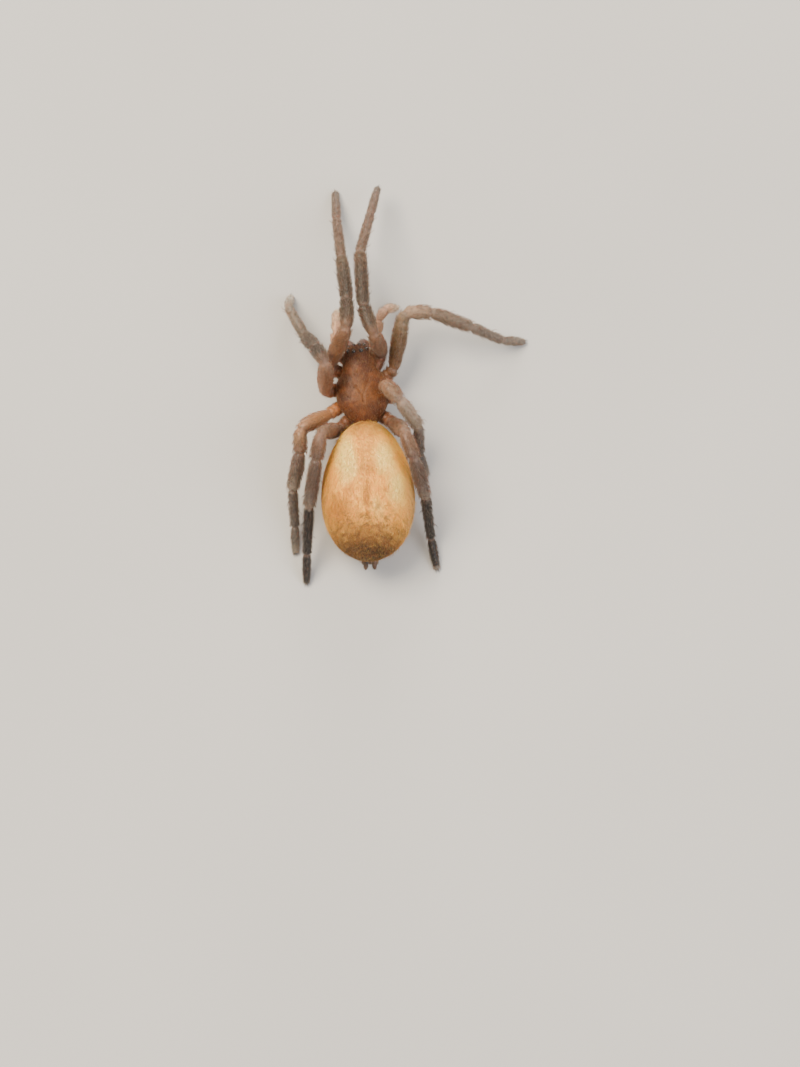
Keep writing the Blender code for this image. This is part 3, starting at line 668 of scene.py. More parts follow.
# Hairs from arrays of roots, outward normals and lie; spread, tilt and curl vary hair by hair
def growCoat(name, rng, roots, normals, lies, lengths, radii, tilts, uvs, material, marks=None,
             stray=14.0):
    count = len(roots)
    normals = unit(normals)
    side = unit(np.cross(lies, normals))
    ahead = unit(np.cross(normals, side))
    yaw = np.radians(rng.normal(0.0, stray, count))[:, None]
    ahead, side = ahead * np.cos(yaw) + side * np.sin(yaw), side * np.cos(yaw) - ahead * np.sin(yaw)
    tilts = np.radians(tilts)[:, None]
    lengths = lengths[:, None]
    first = ahead * np.cos(tilts) + normals * np.sin(tilts)
    second = ahead * np.cos(tilts * 0.35) + normals * np.sin(tilts * 0.35)
    foot = roots - normals * hairFoot
    middle = roots + first * lengths * 0.45
    tip = middle + second * lengths * 0.55
    verts = np.empty((count, 7, 3))
    for corner, angle in enumerate((90.0, 210.0, 330.0)):
        turn = math.radians(angle)
        spoke = (side * math.cos(turn) + normals * math.sin(turn)) * radii[:, None]
        verts[:, corner] = foot + spoke
        verts[:, 3 + corner] = middle + spoke * 0.8
    verts[:, 6] = tip
    verts[:, :, 2] = np.maximum(verts[:, :, 2], hairFloor)
    faces = [(0, 1, 2)] + [(3 + a, 3 + b, b, a) for a, b in ((0, 1), (1, 2), (2, 0))]
    faces += [(3 + b, 3 + a, 6) for a, b in ((0, 1), (1, 2), (2, 0))]
    pattern = np.array([corner for face in faces for corner in face])
    sizes = np.array([len(face) for face in faces])
    starts = np.concatenate(([0], np.cumsum(sizes)[:-1]))
    corners = (np.arange(count)[:, None] * 7 + pattern).ravel()
    mesh = bpy.data.meshes.new(name)
    mesh.vertices.add(count * 7)
    mesh.loops.add(len(corners))
    mesh.polygons.add(count * len(faces))
    placed = verts.reshape(-1, 3) * mm + np.array(bodyShift)
    mesh.vertices.foreach_set("co", placed.astype(np.float32).ravel())
    mesh.loops.foreach_set("vertex_index", corners.astype(np.int32))
    mesh.polygons.foreach_set("loop_start",
                              (np.arange(count)[:, None] * len(pattern) + starts).ravel().astype(np.int32))
    mesh.update(calc_edges=True)
    mesh.shade_smooth()
    marks = dict(marks or {})
    marks["tip"] = np.tile((0, 0, 0, 0.45, 0.45, 0.45, 1.0), (count, 1))
    marks["shade"] = rng.random(count)
    for mark, values in marks.items():
        if values.ndim == 1:
            values = np.repeat(values[:, None], 7, axis=1)
        layer = mesh.attributes.new(mark, "FLOAT", "POINT")
        layer.data.foreach_set("value", values.astype(np.float32).ravel())
    # Each hair's patch of the map lies at its root's place on the unwrapped skin
    patch = np.array(((0, 0.001), (-0.001, -0.001), (0.001, -0.001), (0, 0.0014), (-0.0014, 0), (0.0014, 0),
                      (0, 0.0018)))
    spots = (uvs[:, None, :] + patch[None]).reshape(-1, 2)[corners]
    mesh.uv_layers.new(name="OFBake").data.foreach_set("uv", spots.astype(np.float32).ravel())
    return linkPiece(name, mesh, material, ())


# Legs and palps

legs = {
    # coxa with trochanter, femur, patella, tibia, metatarsus, tarsus
    "lengths": {
        1: (0.90, 2.65, 1.40, 2.45, 2.25, 1.40),
        2: (0.85, 2.35, 1.10, 1.75, 1.65, 1.00),
        3: (0.90, 2.00, 1.00, 1.55, 1.65, 1.00),
        4: (1.00, 2.50, 1.15, 2.05, 2.10, 1.20),
    },
    # radius at the start, middle and end of each
    "radii": ((0.24, 0.29, 0.27), (0.27, 0.34, 0.27), (0.28, 0.30, 0.27), (0.27, 0.285, 0.255),
              (0.23, 0.215, 0.20), (0.20, 0.19, 0.145)),
    "coxaAngles": {1: 50.0, 2: 17.0, 3: -20.0, 4: -56.0},
    # heading and pitch of each segment in degrees, 90 out to the leg's own side
    "pose": {
        ("left", 1): ((64, 22), (-44, 61), (-8, -22), (-1, -30), (-1, -31), -5),
        ("right", 1): ((36, 6), (-70, 83), (-11, -12), (4, -13), (20, -30), (20, -27)),
        ("left", 2): ((105, 22), (-11, 73), (19, -34), (21, -58), (20, -19), -17),
        ("right", 2): ((56, 22), (18, 20), (98, -4), (115, -12), (111, -38), 92),
        ("left", 3): ((119, 12), (121, 45), (172, -22), (160, -26), (176, -38), 173),
        ("right", 3): ((98, 36), (-76, 69), (140, -7), (145, -44), (183, -61), 168),
        ("left", 4): ((132, 14), (124, 69), (162, -16), (162, -35), (169, -37), 171),
        ("right", 4): ((137, 21), (161, 67), (168, 0), (167, -50), (178, -49), 176),
    },
    "footHeight": 0.12, "coxaHeight": 1.0,
    "tipLength": 0.10,
    "coatDepth": ((0.0, 0.03), (5.0, 0.03), (6.0, 0.012)), "around": 20, "step": 0.055,
    "hairsPerSquare": 280.0,
    "hairLength": ((0.0, 0.10), (1.0, 0.15), (2.0, 0.17), (3.0, 0.2), (4.0, 0.17), (5.0, 0.14),
                   (6.0, 0.1)),
    "hairRadius": 0.0075, "hairTilt": (18.0, 42.0),
    # spines by segment and share, and the angle round the leg from its upper side
    "spines": ((1.35, 20), (1.6, -30), (1.85, 40), (3.2, 150), (3.2, 210), (3.55, 150), (3.55, 210),
               (3.88, 155), (3.88, 205), (3.4, 75), (3.7, -75), (4.15, 150), (4.15, 210), (4.5, 150),
               (4.5, 210), (4.9, 160), (4.9, 200), (4.6, 80), (4.3, -80)),
    "spineLength": 0.36, "spineRadius": 0.017,
}
palps = {
    "lengths": (0.32, 0.95, 0.48, 0.55, 0.80),
    "radii": ((0.14, 0.15, 0.15), (0.15, 0.19, 0.18), (0.18, 0.20, 0.18), (0.18, 0.20, 0.19),
              (0.19, 0.20, 0.11)),
    "root": (0.38, 1.20, 0.80),
    "pose": {
        "left": ((76, 16), (21, 49), (-21, 16), (-8, -28), (-8, -44)),
        "right": ((48, -12), (24, 8), (5, 13), (33, -4), (74, -46)),
    },
    "tipLength": 0.09, "coatDepth": ((0.0, 0.02), (5.0, 0.015)), "around": 16, "step": 0.05,
    "hairsPerSquare": 320.0,
    "hairLength": ((0.0, 0.08), (2.0, 0.13), (4.0, 0.15), (5.0, 0.11)),
    "hairRadius": 0.0065, "hairTilt": (20.0, 45.0),
    "spines": (),
}
bend = {"ease": 1.15, "start": 0.12, "limit": 0.58, "points": 7}
sternum = {"length": 2.1, "width": 1.6, "depth": 0.64, "middle": Vector((0.0, -0.15, 1.02)),
           "squareness": 0.72, "coxaSeat": 0.95}


def direction(sign, heading, pitch):
    turn, rise = math.radians(heading), math.radians(pitch)
    return Vector((sign * math.cos(rise) * math.sin(turn), math.cos(rise) * math.cos(turn), math.sin(rise)))


def limbJoints(root, sign, lengths, pose):
    joints = [root]
    for length, aim in zip(lengths, pose):
        if isinstance(aim, tuple):
            step = direction(sign, *aim)
        else:
            drop = joints[-1].z - legs["footHeight"]
            step = direction(sign, aim, -math.degrees(math.asin(drop / length)))
        joints.append(joints[-1] + step * length)
    return joints


def bendReach(joints, index, radius):
    before = joints[index - 1] - joints[index]
    after = joints[index + 1] - joints[index]
    turn = math.pi - before.angle(after)
    widest = bend["limit"] * min(before.length, after.length)
    return min(widest, bend["ease"] * radius * math.tan(turn / 2) + bend["start"])


# A point on the arc that rounds a joint, at a share of the way round
def bendPoint(joints, index, reach, share):
    before = (joints[index - 1] - joints[index]).normalized()
    after = (joints[index + 1] - joints[index]).normalized()
    halfTurn = (math.pi - before.angle(after)) / 2
    if halfTurn < 0.01:
        return joints[index] + before * reach * (1 - 2 * share)
    arcRadius = reach / math.tan(halfTurn)
    centre = joints[index] + (before + after).normalized() * (reach / math.sin(halfTurn))
    spoke = joints[index] + before * reach - centre
    swing = Matrix.Rotation(-2 * halfTurn * share, 3, before.cross(after))
    return centre + (swing @ spoke).normalized() * arcRadius


def segmentRadius(radii, share):
    start, middle, end = radii
    low, high, part = (start, middle, share * 2) if share < 0.5 else (middle, end, share * 2 - 1)
    return low + (high - low) * part * part * (3 - 2 * part)


# How a limb's width changes near its joints: a flared end, a soft narrow membrane, a slim start
def jointShape(before, after, isFirst, isLast):
    width = 1.0
    if not isLast:
        width += 0.05 * math.exp(-((after - 0.15) / 0.08) ** 2) - 0.2 * math.exp(-(after / 0.055) ** 2)
    if not isFirst:
        width -= 0.2 * math.exp(-(before / 0.055) ** 2) + 0.05 * math.exp(-(before / 0.2) ** 2)
    return width


# Rings of a limb from root to tip, each with its place along the limb and its nearness to a joint
def limbRings(joints, radii, limb):
    final = len(joints) - 2
    reaches = [0.0]
    reaches += [bendReach(joints, at, max(radii[at - 1][2], radii[at][0])) for at in range(1, final + 1)]
    points, places, widths, nears = [], [], [], []
    halves = [part / bend["points"] / 2 for part in range(1, bend["points"] + 1)]
    for index in range(final + 1):
        start = bendPoint(joints, index, reaches[index], 1.0) if index else joints[0]
        end = bendPoint(joints, index + 1, reaches[index + 1], 0.0) if index < final else joints[-1]
        part = []
        if index:
            rest = [0.0] + halves[:-1]
            part += [bendPoint(joints, index, reaches[index], 0.5 + half) for half in rest]
        count = max(3, round((end - start).length / limb["step"]))
        part += [start.lerp(end, at / count) for at in range(count + 1)]
        if index < final:
            part += [bendPoint(joints, index + 1, reaches[index + 1], half) for half in halves]
        run = [0.0]
        for a, b in zip(part, part[1:]):
            run.append(run[-1] + (b - a).length)
        total = run[-1]
        for point, far in list(zip(part, run))[1 if index else 0:]:
            shape = jointShape(far, total - far, index == 0, index == final)
            coat = between(limb["coatDepth"], index + far / total)
            radius = segmentRadius(radii[index], far / total) - coat
            if index == 0 and final == 5:        # the trochanter, a short ring at the end of the coxa
                shape -= 0.13 * math.exp(-((far / total - 0.7) / 0.05) ** 2)
            points.append(point)
            places.append(index + far / total)
            widths.append(radius * shape)
            near = 0.0 if index == 0 else math.exp(-(far / 0.075) ** 2)
            near = max(near, 0.0 if index == final else math.exp(-((total - far) / 0.075) ** 2))
            nears.append(near)
    ahead = (points[-1] - points[-2]).normalized()
    tip, width = points[-1], widths[-1]
    for share in (0.35, 0.62, 0.82, 0.94, 0.99):
        points.append(tip + ahead * limb["tipLength"] * share)
        places.append(final + 1.0)
        widths.append(width * math.sqrt(1 - share * share))
        nears.append(0.0)
    rings = ringFrames(points)
    for ring, place, width, near in zip(rings, places, widths, nears):
        ring.update(wide=width * 0.97, tall=width, place=place, joint=near)
    return rings


def limbPiece(name, rings, limb, material, nodes):
    bm = bmesh.new()
    loft(bm, rings, limb["around"], ("place", "joint"))
    for vert in bm.verts:
        vert.co.z = max(vert.co.z, 0.0)       # the sole is flat where it stands
    return finishPiece(name, bm, material, nodes)


# Hairs all over a limb, lying toward its tip, and its spines
def limbHairs(name, seed, rings, limb, material):
    rng = np.random.default_rng(seed)
    rows = {key: np.array([ring[key] for ring in rings], float)
            for key in ("centre", "across", "up", "along", "wide", "place", "joint")}
    steps = np.linalg.norm(np.diff(rows["centre"], axis=0), axis=1)
    area = 2 * math.pi * (rows["wide"][:-1] + rows["wide"][1:]) / 2 * steps
    weight = area * (1 - 0.85 * rows["joint"][:-1])
    count = int(area.sum() * limb["hairsPerSquare"])
    at = rng.choice(len(weight), count, p=weight / weight.sum())
    share = rng.random(count)
    angle = rng.random(count) * 2 * math.pi
    length = np.interp(rows["place"][at], *zip(*limb["hairLength"])) * rng.uniform(0.7, 1.25, count)
    radius = limb["hairRadius"] * rng.uniform(0.75, 1.2, count)
    tilt = rng.uniform(*limb["hairTilt"], count)
    for place, turn in limb["spines"]:
        at = np.append(at, np.searchsorted(rows["place"], place) - 1)
        share = np.append(share, 0.5)
        angle = np.append(angle, math.radians(turn))
        length = np.append(length, limb["spineLength"] * rng.uniform(0.85, 1.1))
        radius = np.append(radius, limb["spineRadius"])
        tilt = np.append(tilt, 40.0)
    mixed = {}
    for key, row in rows.items():
        mixed[key] = row[at] + (row[at + 1] - row[at]) * (share[:, None] if row.ndim == 2 else share)
    normals = mixed["up"] * np.cos(angle)[:, None] + mixed["across"] * np.sin(angle)[:, None]
    roots = mixed["centre"] + normals * mixed["wide"][:, None]
    turnAround = angle / (2 * math.pi) % 1.0
    uvs = np.stack((uvLow + uvSpan * turnAround, uvLow + uvSpan * (at + share) / len(rings)), axis=1)
    marks = {"place": mixed["place"], "joint": mixed["joint"]}
    return growCoat(name, rng, roots, normals, mixed["along"], length, radius, tilt, uvs,
                    material, marks)


claws = {
    "length": 0.17, "radius": 0.018, "spread": 0.045,
    "bend": ((0.0, 0.0), (0.3, 0.05), (0.6, 0.0), (0.85, -0.22), (1.0, -0.5)),
}


# Two curved claws and a small middle one at the tip of a foot
def addClaws(bm, rings):
    last = rings[-1]
    along, across = last["along"], last["across"]
    up = Vector((0, 0, 1))
    flat = Vector((along.x, along.y, 0.0)).normalized()
    for offset, scale in ((-1, 1.0), (1, 1.0), (0, 0.6)):
        root = last["centre"] - along * 0.04 + across * claws["spread"] * offset
        stations = []
        for share, rise in claws["bend"]:
            point = root + flat * claws["length"] * scale * share + up * claws["length"] * scale * rise
            point += across * offset * share * 0.02
            point.z = max(point.z, 0.012)
            stations.append((point, claws["radius"] * scale * (1.05 - share * 0.85)))
        line, widths = smoothLine(stations, 0.02)
        loft(bm, tubeRings(line, widths), 6)


def coxaRoot(sign, pair):
    turn = math.radians(legs["coxaAngles"][pair])
    reach = sternum["coxaSeat"]
    return Vector((
        sign * sternum["width"] / 2 * reach * math.cos(turn),
        sternum["middle"].y + sternum["length"] / 2 * reach * math.sin(turn),
        legs["coxaHeight"],
    ))


def makeLegs(horn):
    groups = {name: tones for name, tones in legTones.items() if name != "palp"}
    skins = {name: limbSkin(name + "LegCuticle", tones, 6.0) for name, tones in groups.items()}
    coats = {name: limbCoat(name + "LegSetae", tones, 6.0) for name, tones in groups.items()}
    clawMesh = bmesh.new()
    for side, sign in sides:
        for pair in legs["lengths"]:
            group = {1: "front", 2: "second" + side.capitalize(), 3: "third" + side.capitalize(),
                     4: "fourth"}[pair]
            root = coxaRoot(sign, pair)
            joints = limbJoints(root, sign, legs["lengths"][pair], legs["pose"][side, pair])
            rings = limbRings(joints, legs["radii"], legs)
            name = f"leg{side.capitalize()}{pair}"
            nodes = [f"leg_{side}_{pair}_{part}" for part in ("coxa", "femur", "tibia", "tarsus")]
            limbPiece(name + "Skin", rings, legs, skins[group], nodes)
            limbHairs(name + "Coat", 10 * pair + (sign > 0), rings, legs, coats[group])
            addClaws(clawMesh, rings)
    finishPiece("tarsalClaws", clawMesh, horn)
    print("legs made")


def makePalps():
    skin = limbSkin("palpCuticle", legTones["palp"], 5.0)
    coat = limbCoat("palpSetae", legTones["palp"], 5.0)
    for side, sign in sides:
        root = Vector((palps["root"][0] * sign, palps["root"][1], palps["root"][2]))
        joints = limbJoints(root, sign, palps["lengths"], palps["pose"][side])
        rings = limbRings(joints, palps["radii"], palps)
        name = f"palp{side.capitalize()}"
        limbPiece(name + "Skin", rings, palps, skin, [f"palp_{side}_femur", f"palp_{side}_tarsus"])
        limbHairs(name + "Coat", 100 + (sign > 0), rings, palps, coat)
    print("palps made")


# Body

def between(stations, value):
    for (low, start), (high, end) in zip(stations, stations[1:]):
        if value <= high:
            share = min(max((value - low) / (high - low), 0.0), 1.0)
            return start + (end - start) * share * share * (3 - 2 * share)
    return stations[-1][1]


def ballMesh(around, along):
    bm = bmesh.new()
    bmesh.ops.create_uvsphere(bm, u_segments=around, v_segments=along, radius=1.0)
    bmesh.ops.rotate(bm, verts=bm.verts, cent=(0, 0, 0), matrix=Matrix.Rotation(-math.pi / 2, 3, "X"))
    return bm


def abdomenPoint(spot):
    look = abdomen
    turn = Matrix.Rotation(look["swing"], 3, "Z") @ Matrix.Rotation(look["rise"], 3, "X")
    height = look["below"] if spot.z < 0 else look["above"]
    deep = look["coatDepth"]
    # Four shallow muscle pits on the back, soft creases over the rear
    pits = 0.0
    for x, y in ((-0.2, 0.3), (0.2, 0.3), (-0.24, -0.08), (0.24, -0.08)):
        pits += math.exp(-(((spot.x - x) / 0.045) ** 2 + ((spot.y - y) / 0.035) ** 2)) if spot.z > 0 else 0.0
    rear = max(0.0, -spot.y - 0.45)
    crease = rear * 0.028 * noise.noise(Vector((spot.x * 3, spot.y * 16, spot.z * 3)))
    lump = 0.02 * noise.noise(spot * 3.0)
    grow = lump + crease - 0.03 * min(pits, 1.0) - deep
    point = Vector((
        spot.x * (look["width"] / 2 * (1 - look["taper"] * spot.y) + grow),
        spot.y * (look["length"] / 2 + grow),
        spot.z * (look["height"] / 2 * height + grow),
    ))
    return look["middle"] + turn @ point


def makeAbdomen():
    look = abdomen
    bm = ballMesh(look["around"], look["along"])
    for vert in bm.verts:
        vert.co = abdomenPoint(vert.co)
    finishPiece("abdomenSkin", bm, abdomenSkin(), ["abdomen"])
    coat = abdomenCoat()
    rng = np.random.default_rng(7)
    noise.seed_set(7)     # without it, vector noise takes its offsets from the clock
    half = np.array((look["width"] / 2, look["length"] / 2, look["height"] / 2))
    # Roots wind round the oval at the golden angle, evenly spaced over its surface
    line = np.linspace(-1.0, 1.0, 2001)
    ring = np.sqrt(1 - line ** 2)
    slope = np.hypot(np.diff(line) * half[1], np.diff(ring) * (half[0] + half[2]) / 2)
    strip = (ring[1:] + ring[:-1]) * slope
    reach = np.concatenate(([0.0], np.cumsum(strip)))
    order = np.arange(look["hairs"]) + rng.uniform(0.1, 0.9, look["hairs"])
    ahead = np.interp(order / look["hairs"] * reach[-1], reach, line)
    around = order * math.pi * (3 - math.sqrt(5)) + rng.normal(0.0, 0.01, look["hairs"])
    wide = np.sqrt(1 - ahead ** 2)
    spots = unit(np.stack((wide * np.cos(around), ahead, wide * np.sin(around)), axis=1))
    roots = np.array([abdomenPoint(Vector(spot)) for spot in spots])
    turn = np.array(Matrix.Rotation(look["swing"], 3, "Z") @ Matrix.Rotation(look["rise"], 3, "X"))
    normals = unit(spots / half) @ turn.T
    # The coat lies back along the abdomen and fans over its rear
    back = np.tile(turn @ np.array((0.0, -1.0, 0.0)), (len(spots), 1))
    drift = np.array([tuple(noise.noise_vector(Vector(spot) * 2.0)) for spot in spots])
    lies = unit(back + drift * 0.14 + (spots @ turn.T) * np.array((0.35, 0.0, 0.2)) * (spots[:, 1:2] > 0.4))
    rear = np.clip((-spots[:, 1] - 0.7) / 0.3, 0, 1)
    count = len(spots)
    lengths = rng.uniform(*look["hairLength"], count) * (1 + 0.3 * rear)
    radii = rng.uniform(*look["hairRadius"], count)
    tilts = rng.uniform(*look["hairTilt"], count) + 12 * rear
    proud = rng.random(count) < 0.05       # one in twenty is a longer bristle that stands up
    lengths, tilts = lengths * np.where(proud, 1.6, 1.0), tilts + np.where(proud, 24.0, 0.0)
    turnAround = np.arctan2(spots[:, 0], spots[:, 2]) / (2 * math.pi) + 0.5
    fromFront = np.arccos(np.clip(spots[:, 1], -1, 1)) / math.pi
    uvs = np.stack((uvLow + uvSpan * turnAround, uvLow + uvSpan * fromFront), axis=1)
    for side, keep in (("Left", spots[:, 0] < 0), ("Right", spots[:, 0] >= 0)):
        growCoat("abdomenCoat" + side, rng, roots[keep], normals[keep], lies[keep], lengths[keep],
                 radii[keep], tilts[keep], uvs[keep], coat)
    print("abdomen made,", count, "hairs")


def carapacePoint(spot, grow=0.0):
    look = carapace
    blunt = look["headBluntness"] if spot.y > 0 else look["rearBluntness"]
    shrink = (1 - min(abs(spot.y), 1.0) ** blunt) ** (1 / blunt)
    halfWidth = between(look["widths"], spot.y) * look["width"] / 2 + grow
    height = between(look["heights"], spot.y) * look["height"] + grow
    ring = math.hypot(spot.x, spot.z)
    across = spot.x / ring if ring > 1e-6 else 0.0
    up = spot.z / ring if ring > 1e-6 else 0.0
    z = look["underside"] + (height * shrink * up ** look["domePower"] if up >= 0 else -grow)
    return Vector((halfWidth * shrink * across, (look["length"] / 2 + grow) * spot.y, z))


# Grooves of the carapace as lines with a depth and a width, on the right side and mirrored
grooves = (
    ((0.0, -0.48), (0.0, -0.8), 0.05, 0.04),
    ((0.05, -0.35), (0.62, 0.62), 0.03, 0.1),
    ((0.2, -0.42), (0.85, 0.25), 0.012, 0.09),
    ((0.22, -0.6), (1.0, -0.3), 0.012, 0.09),
    ((0.2, -0.78), (0.85, -0.95), 0.012, 0.09),
)


def grooveDepth(x, y):
    deep = 0.0
    for start, end, depth, width in grooves:
        step = (end[0] - start[0], end[1] - start[1])
        long = step[0] ** 2 + step[1] ** 2
        share = ((abs(x) - start[0]) * step[0] + (y - start[1]) * step[1]) / long
        share = min(max(share, 0.0), 1.0)
        far = math.hypot(abs(x) - start[0] - step[0] * share, y - start[1] - step[1] * share)
        deep = max(deep, depth * (1 - 0.5 * share) * math.exp(-(far / width) ** 2))
    return deep


def makeCarapace():
    look = carapace
    bm = ballMesh(look["around"], look["along"])
    for vert in bm.verts:
        isTop = vert.co.z > 0.02
        point = carapacePoint(vert.co, -0.005)
        if isTop:
            point.z -= grooveDepth(point.x, point.y) + 0.006 * noise.noise(point * 4.0)
        vert.co = point
    finishPiece("carapaceShell", bm, carapaceShell(), ["carapace"])
    print("carapace made")


# Bristles over the shield: fine pale ones lying forward, and longer ones on the head
def makeCarapaceCoat():
    look = carapace
    rng = np.random.default_rng(21)
    half = np.array((look["width"] / 2, look["length"] / 2, look["height"] * 1.3))
    spots = unit(rng.normal(size=(look["hairs"] * 8, 3)))
    spots = spots[(spots[:, 2] > 0.06) & (abs(spots[:, 1]) < 0.985)]
    stretch = np.linalg.norm(spots / half, axis=1)
    spots = spots[rng.random(len(spots)) < stretch / stretch.max()][:look["hairs"]]
    roots, normals = [], []
    for spot in spots:
        spot = Vector(spot)
        over = spot.cross(Vector((0, 1, 0))).normalized()
        here = carapacePoint(spot, -0.005)
        one = carapacePoint((spot + over * 0.02).normalized(), -0.005) - here
        two = carapacePoint((spot + over.cross(spot) * 0.02).normalized(), -0.005) - here
        normal = one.cross(two).normalized()
        normal = normal if normal.z > 0 else -normal
        here.z -= grooveDepth(here.x, here.y)
        roots.append(here)
        normals.append(normal)
    roots, normals = np.array(roots), np.array(normals)
    head = np.clip((roots[:, 1] - 0.3) / 1.0, 0, 1)
    lies = np.stack((-0.5 * roots[:, 0], np.full(len(roots), 1.0), np.zeros(len(roots))), axis=1)
    count = len(roots)
    long = rng.random(count) < 0.05 + 0.12 * head
    lengths = rng.uniform(0.06, 0.12, count) * np.where(long, 2.1, 1.0)
    radii = rng.uniform(0.004, 0.006, count) * np.where(long, 1.5, 1.0)
    tilts = rng.uniform(14, 34, count) + np.where(long, 22, 0)
    uvs = np.stack((uvLow + uvSpan * (roots[:, 0] / look["width"] + 0.5),
                    uvLow + uvSpan * (roots[:, 1] / look["length"] + 0.5)), axis=1)
    coat = plainCoat("carapaceSetae", "#5A3218", "#BC9468")
    growCoat("carapaceCoat", rng, roots, normals, lies, lengths, radii, tilts, uvs, coat,
             stray=20.0)


# Eyes, jaws and the plates of the mouth and underside

# Eyes: distance from the middle, angle along the head with 90 at its front, and radius
eyes = {
    "front_median": (0.11, 75.0, 0.070),
    "front_lateral": (0.31, 71.5, 0.080),
    "rear_median": (0.15, 52.0, 0.080),
    "rear_lateral": (0.38, 56.0, 0.080),
}


def placeOn(middle, normal, scale):
    turn = normal.to_track_quat("Z", "Y").to_matrix().to_4x4()
    return Matrix.Translation(middle) @ turn @ Matrix.Diagonal(Vector(scale).to_4d())


# Eight domed lenses, each in a low dark collar of the shell
def makeEyes():
    lens, collar = eyeLens(), hardChitin("eyeCollarChitin", "#160C08", "#2A150C", 0.35, 0.05, 0.05)
    collars = bmesh.new()
    for row, (aside, lean, radius) in eyes.items():
        along, ring = math.sin(math.radians(lean)), math.cos(math.radians(lean))
        blunt = carapace["headBluntness"]
        halfWidth = between(carapace["widths"], along) * carapace["width"] / 2
        halfWidth *= (1 - along ** blunt) ** (1 / blunt)
        across = min(aside / halfWidth, 0.95)
        for side, sign in sides:
            spot = Vector((sign * ring * across, along, ring * math.sqrt(1 - across * across)))
            middle = carapacePoint(spot)
            near = [carapacePoint((spot + Vector(step)).normalized()) - middle for step in
                    ((0.02, 0, 0), (0, 0.0, 0.02))]
            normal = near[0].cross(near[1]).normalized()
            normal = normal if normal.dot(Vector((0, 0.7, 0.7))) > 0 else -normal
            dome = bmesh.new()
            bmesh.ops.create_uvsphere(dome, u_segments=28, v_segments=18, radius=radius * 0.98)
            bmesh.ops.transform(dome, matrix=placeOn(middle, normal, (1, 1, 0.92)), verts=dome.verts)
            title = "".join(part.capitalize() for part in row.split("_"))
            finishPiece(f"eye{title}{side.capitalize()}", dome, lens, [f"eye_{row}_{side}"])
            seat = bmesh.new()
            wire = bmesh.ops.create_circle(seat, cap_ends=False, segments=10, radius=0.016)["verts"]
            bmesh.ops.rotate(seat, verts=wire, cent=(0, 0, 0), matrix=Matrix.Rotation(math.pi / 2, 3, "X"))
            bmesh.ops.translate(seat, verts=wire, vec=(radius * 0.98, 0, 0))
            bmesh.ops.spin(seat, geom=seat.verts[:] + seat.edges[:], cent=(0, 0, 0), axis=(0, 0, 1),
                           dvec=(0, 0, 0), angle=2 * math.pi, steps=24, use_merge=True, use_duplicate=False)
            bmesh.ops.transform(seat, matrix=placeOn(middle, normal, (1, 1, 1)), verts=seat.verts)
            held = bpy.data.meshes.new("seat")
            seat.to_mesh(held)
            seat.free()
            collars.from_mesh(held)
            bpy.data.meshes.remove(held)
    finishPiece("eyeCollars", collars, collar)
    print("eyes made")


jaws = {
    "line": (((0.28, 1.46, 1.66), 0.17), ((0.29, 1.60, 1.50), 0.21), ((0.30, 1.74, 1.27), 0.24),
             ((0.295, 1.80, 1.02), 0.235), ((0.28, 1.80, 0.78), 0.205), ((0.26, 1.78, 0.60), 0.16),
             ((0.25, 1.77, 0.55), 0.14)),
    "fang": (((0.25, 1.77, 0.56), 0.08), ((0.25, 1.77, 0.43), 0.088), ((0.24, 1.77, 0.36), 0.08),
             ((0.18, 1.74, 0.29), 0.06), ((0.10, 1.69, 0.29), 0.036), ((0.06, 1.65, 0.33), 0.014)),
    "teeth": ((0.20, 1.86, 0.56), (0.14, 1.86, 0.60), (0.21, 1.66, 0.56), (0.15, 1.66, 0.60)),
    "hairsPerSquare": 110.0, "hairLength": ((0.0, 0.08), (0.4, 0.14), (1.0, 0.17)), "hairRadius": 0.0065,
    "hairTilt": (25.0, 50.0), "spines": (),
}


# Rings of a tube through stations, ready for its hairs
def stationRings(stations, step, reach, flat=1.0):
    line, widths = smoothLine(stations, step)
    roundEnd(line, widths, reach)
    rings = tubeRings(line, widths, flat)
    for index, ring in enumerate(rings):
        ring.update(place=index / (len(rings) - 1), joint=0.0)
    return rings


def mirrored(stations, sign):
    return [((x * sign, y, z), size) for (x, y, z), size in stations]


def makeJaws(horn):
    shell = hardChitin("jawTannedChitin", "#3A170A", "#65301A", 0.34, 0.12, 0.2)
    coat = plainCoat("jawSetae", "#4A2C1C", "#B9997A")
    for side, sign in sides:
        rings = stationRings(mirrored(jaws["line"], sign), 0.035, 0.07)
        bm = bmesh.new()
        loft(bm, rings, 28)
        # The knob by which each jaw hinges on the head, and the teeth along its fang groove
        knob = bmesh.ops.create_uvsphere(bm, u_segments=12, v_segments=8, radius=0.075)["verts"]
        bmesh.ops.translate(bm, verts=knob, vec=(0.46 * sign, 1.68, 1.46))
        for x, y, z in jaws["teeth"]:
            tooth = bmesh.ops.create_cone(bm, cap_ends=True, segments=8, radius1=0.028, radius2=0.004,
                                          depth=0.09)["verts"]
            bmesh.ops.rotate(bm, verts=tooth, cent=(0, 0, 0), matrix=Matrix.Rotation(math.pi, 3, "X"))
            bmesh.ops.translate(bm, verts=tooth, vec=(x * sign, y, z - 0.03))
        finishPiece(f"jaw{side.capitalize()}", bm, shell, [f"chelicera_{side}"])
        limbHairs(f"jaw{side.capitalize()}Coat", 40 + (sign > 0), rings, jaws, coat)
        fang = bmesh.new()
        loft(fang, stationRings(mirrored(jaws["fang"], sign), 0.02, 0.02), 14)
        finishPiece(f"fang{side.capitalize()}", fang, horn, [f"fang_{side}"])
    print("jaws made")


# A box-like ball, rounder as squareness nears 1
def pillowPoint(spot, middle, half, squareness):
    return middle + Vector(math.copysign(abs(along) ** squareness, along) * reach
                           for along, reach in zip(spot, half))


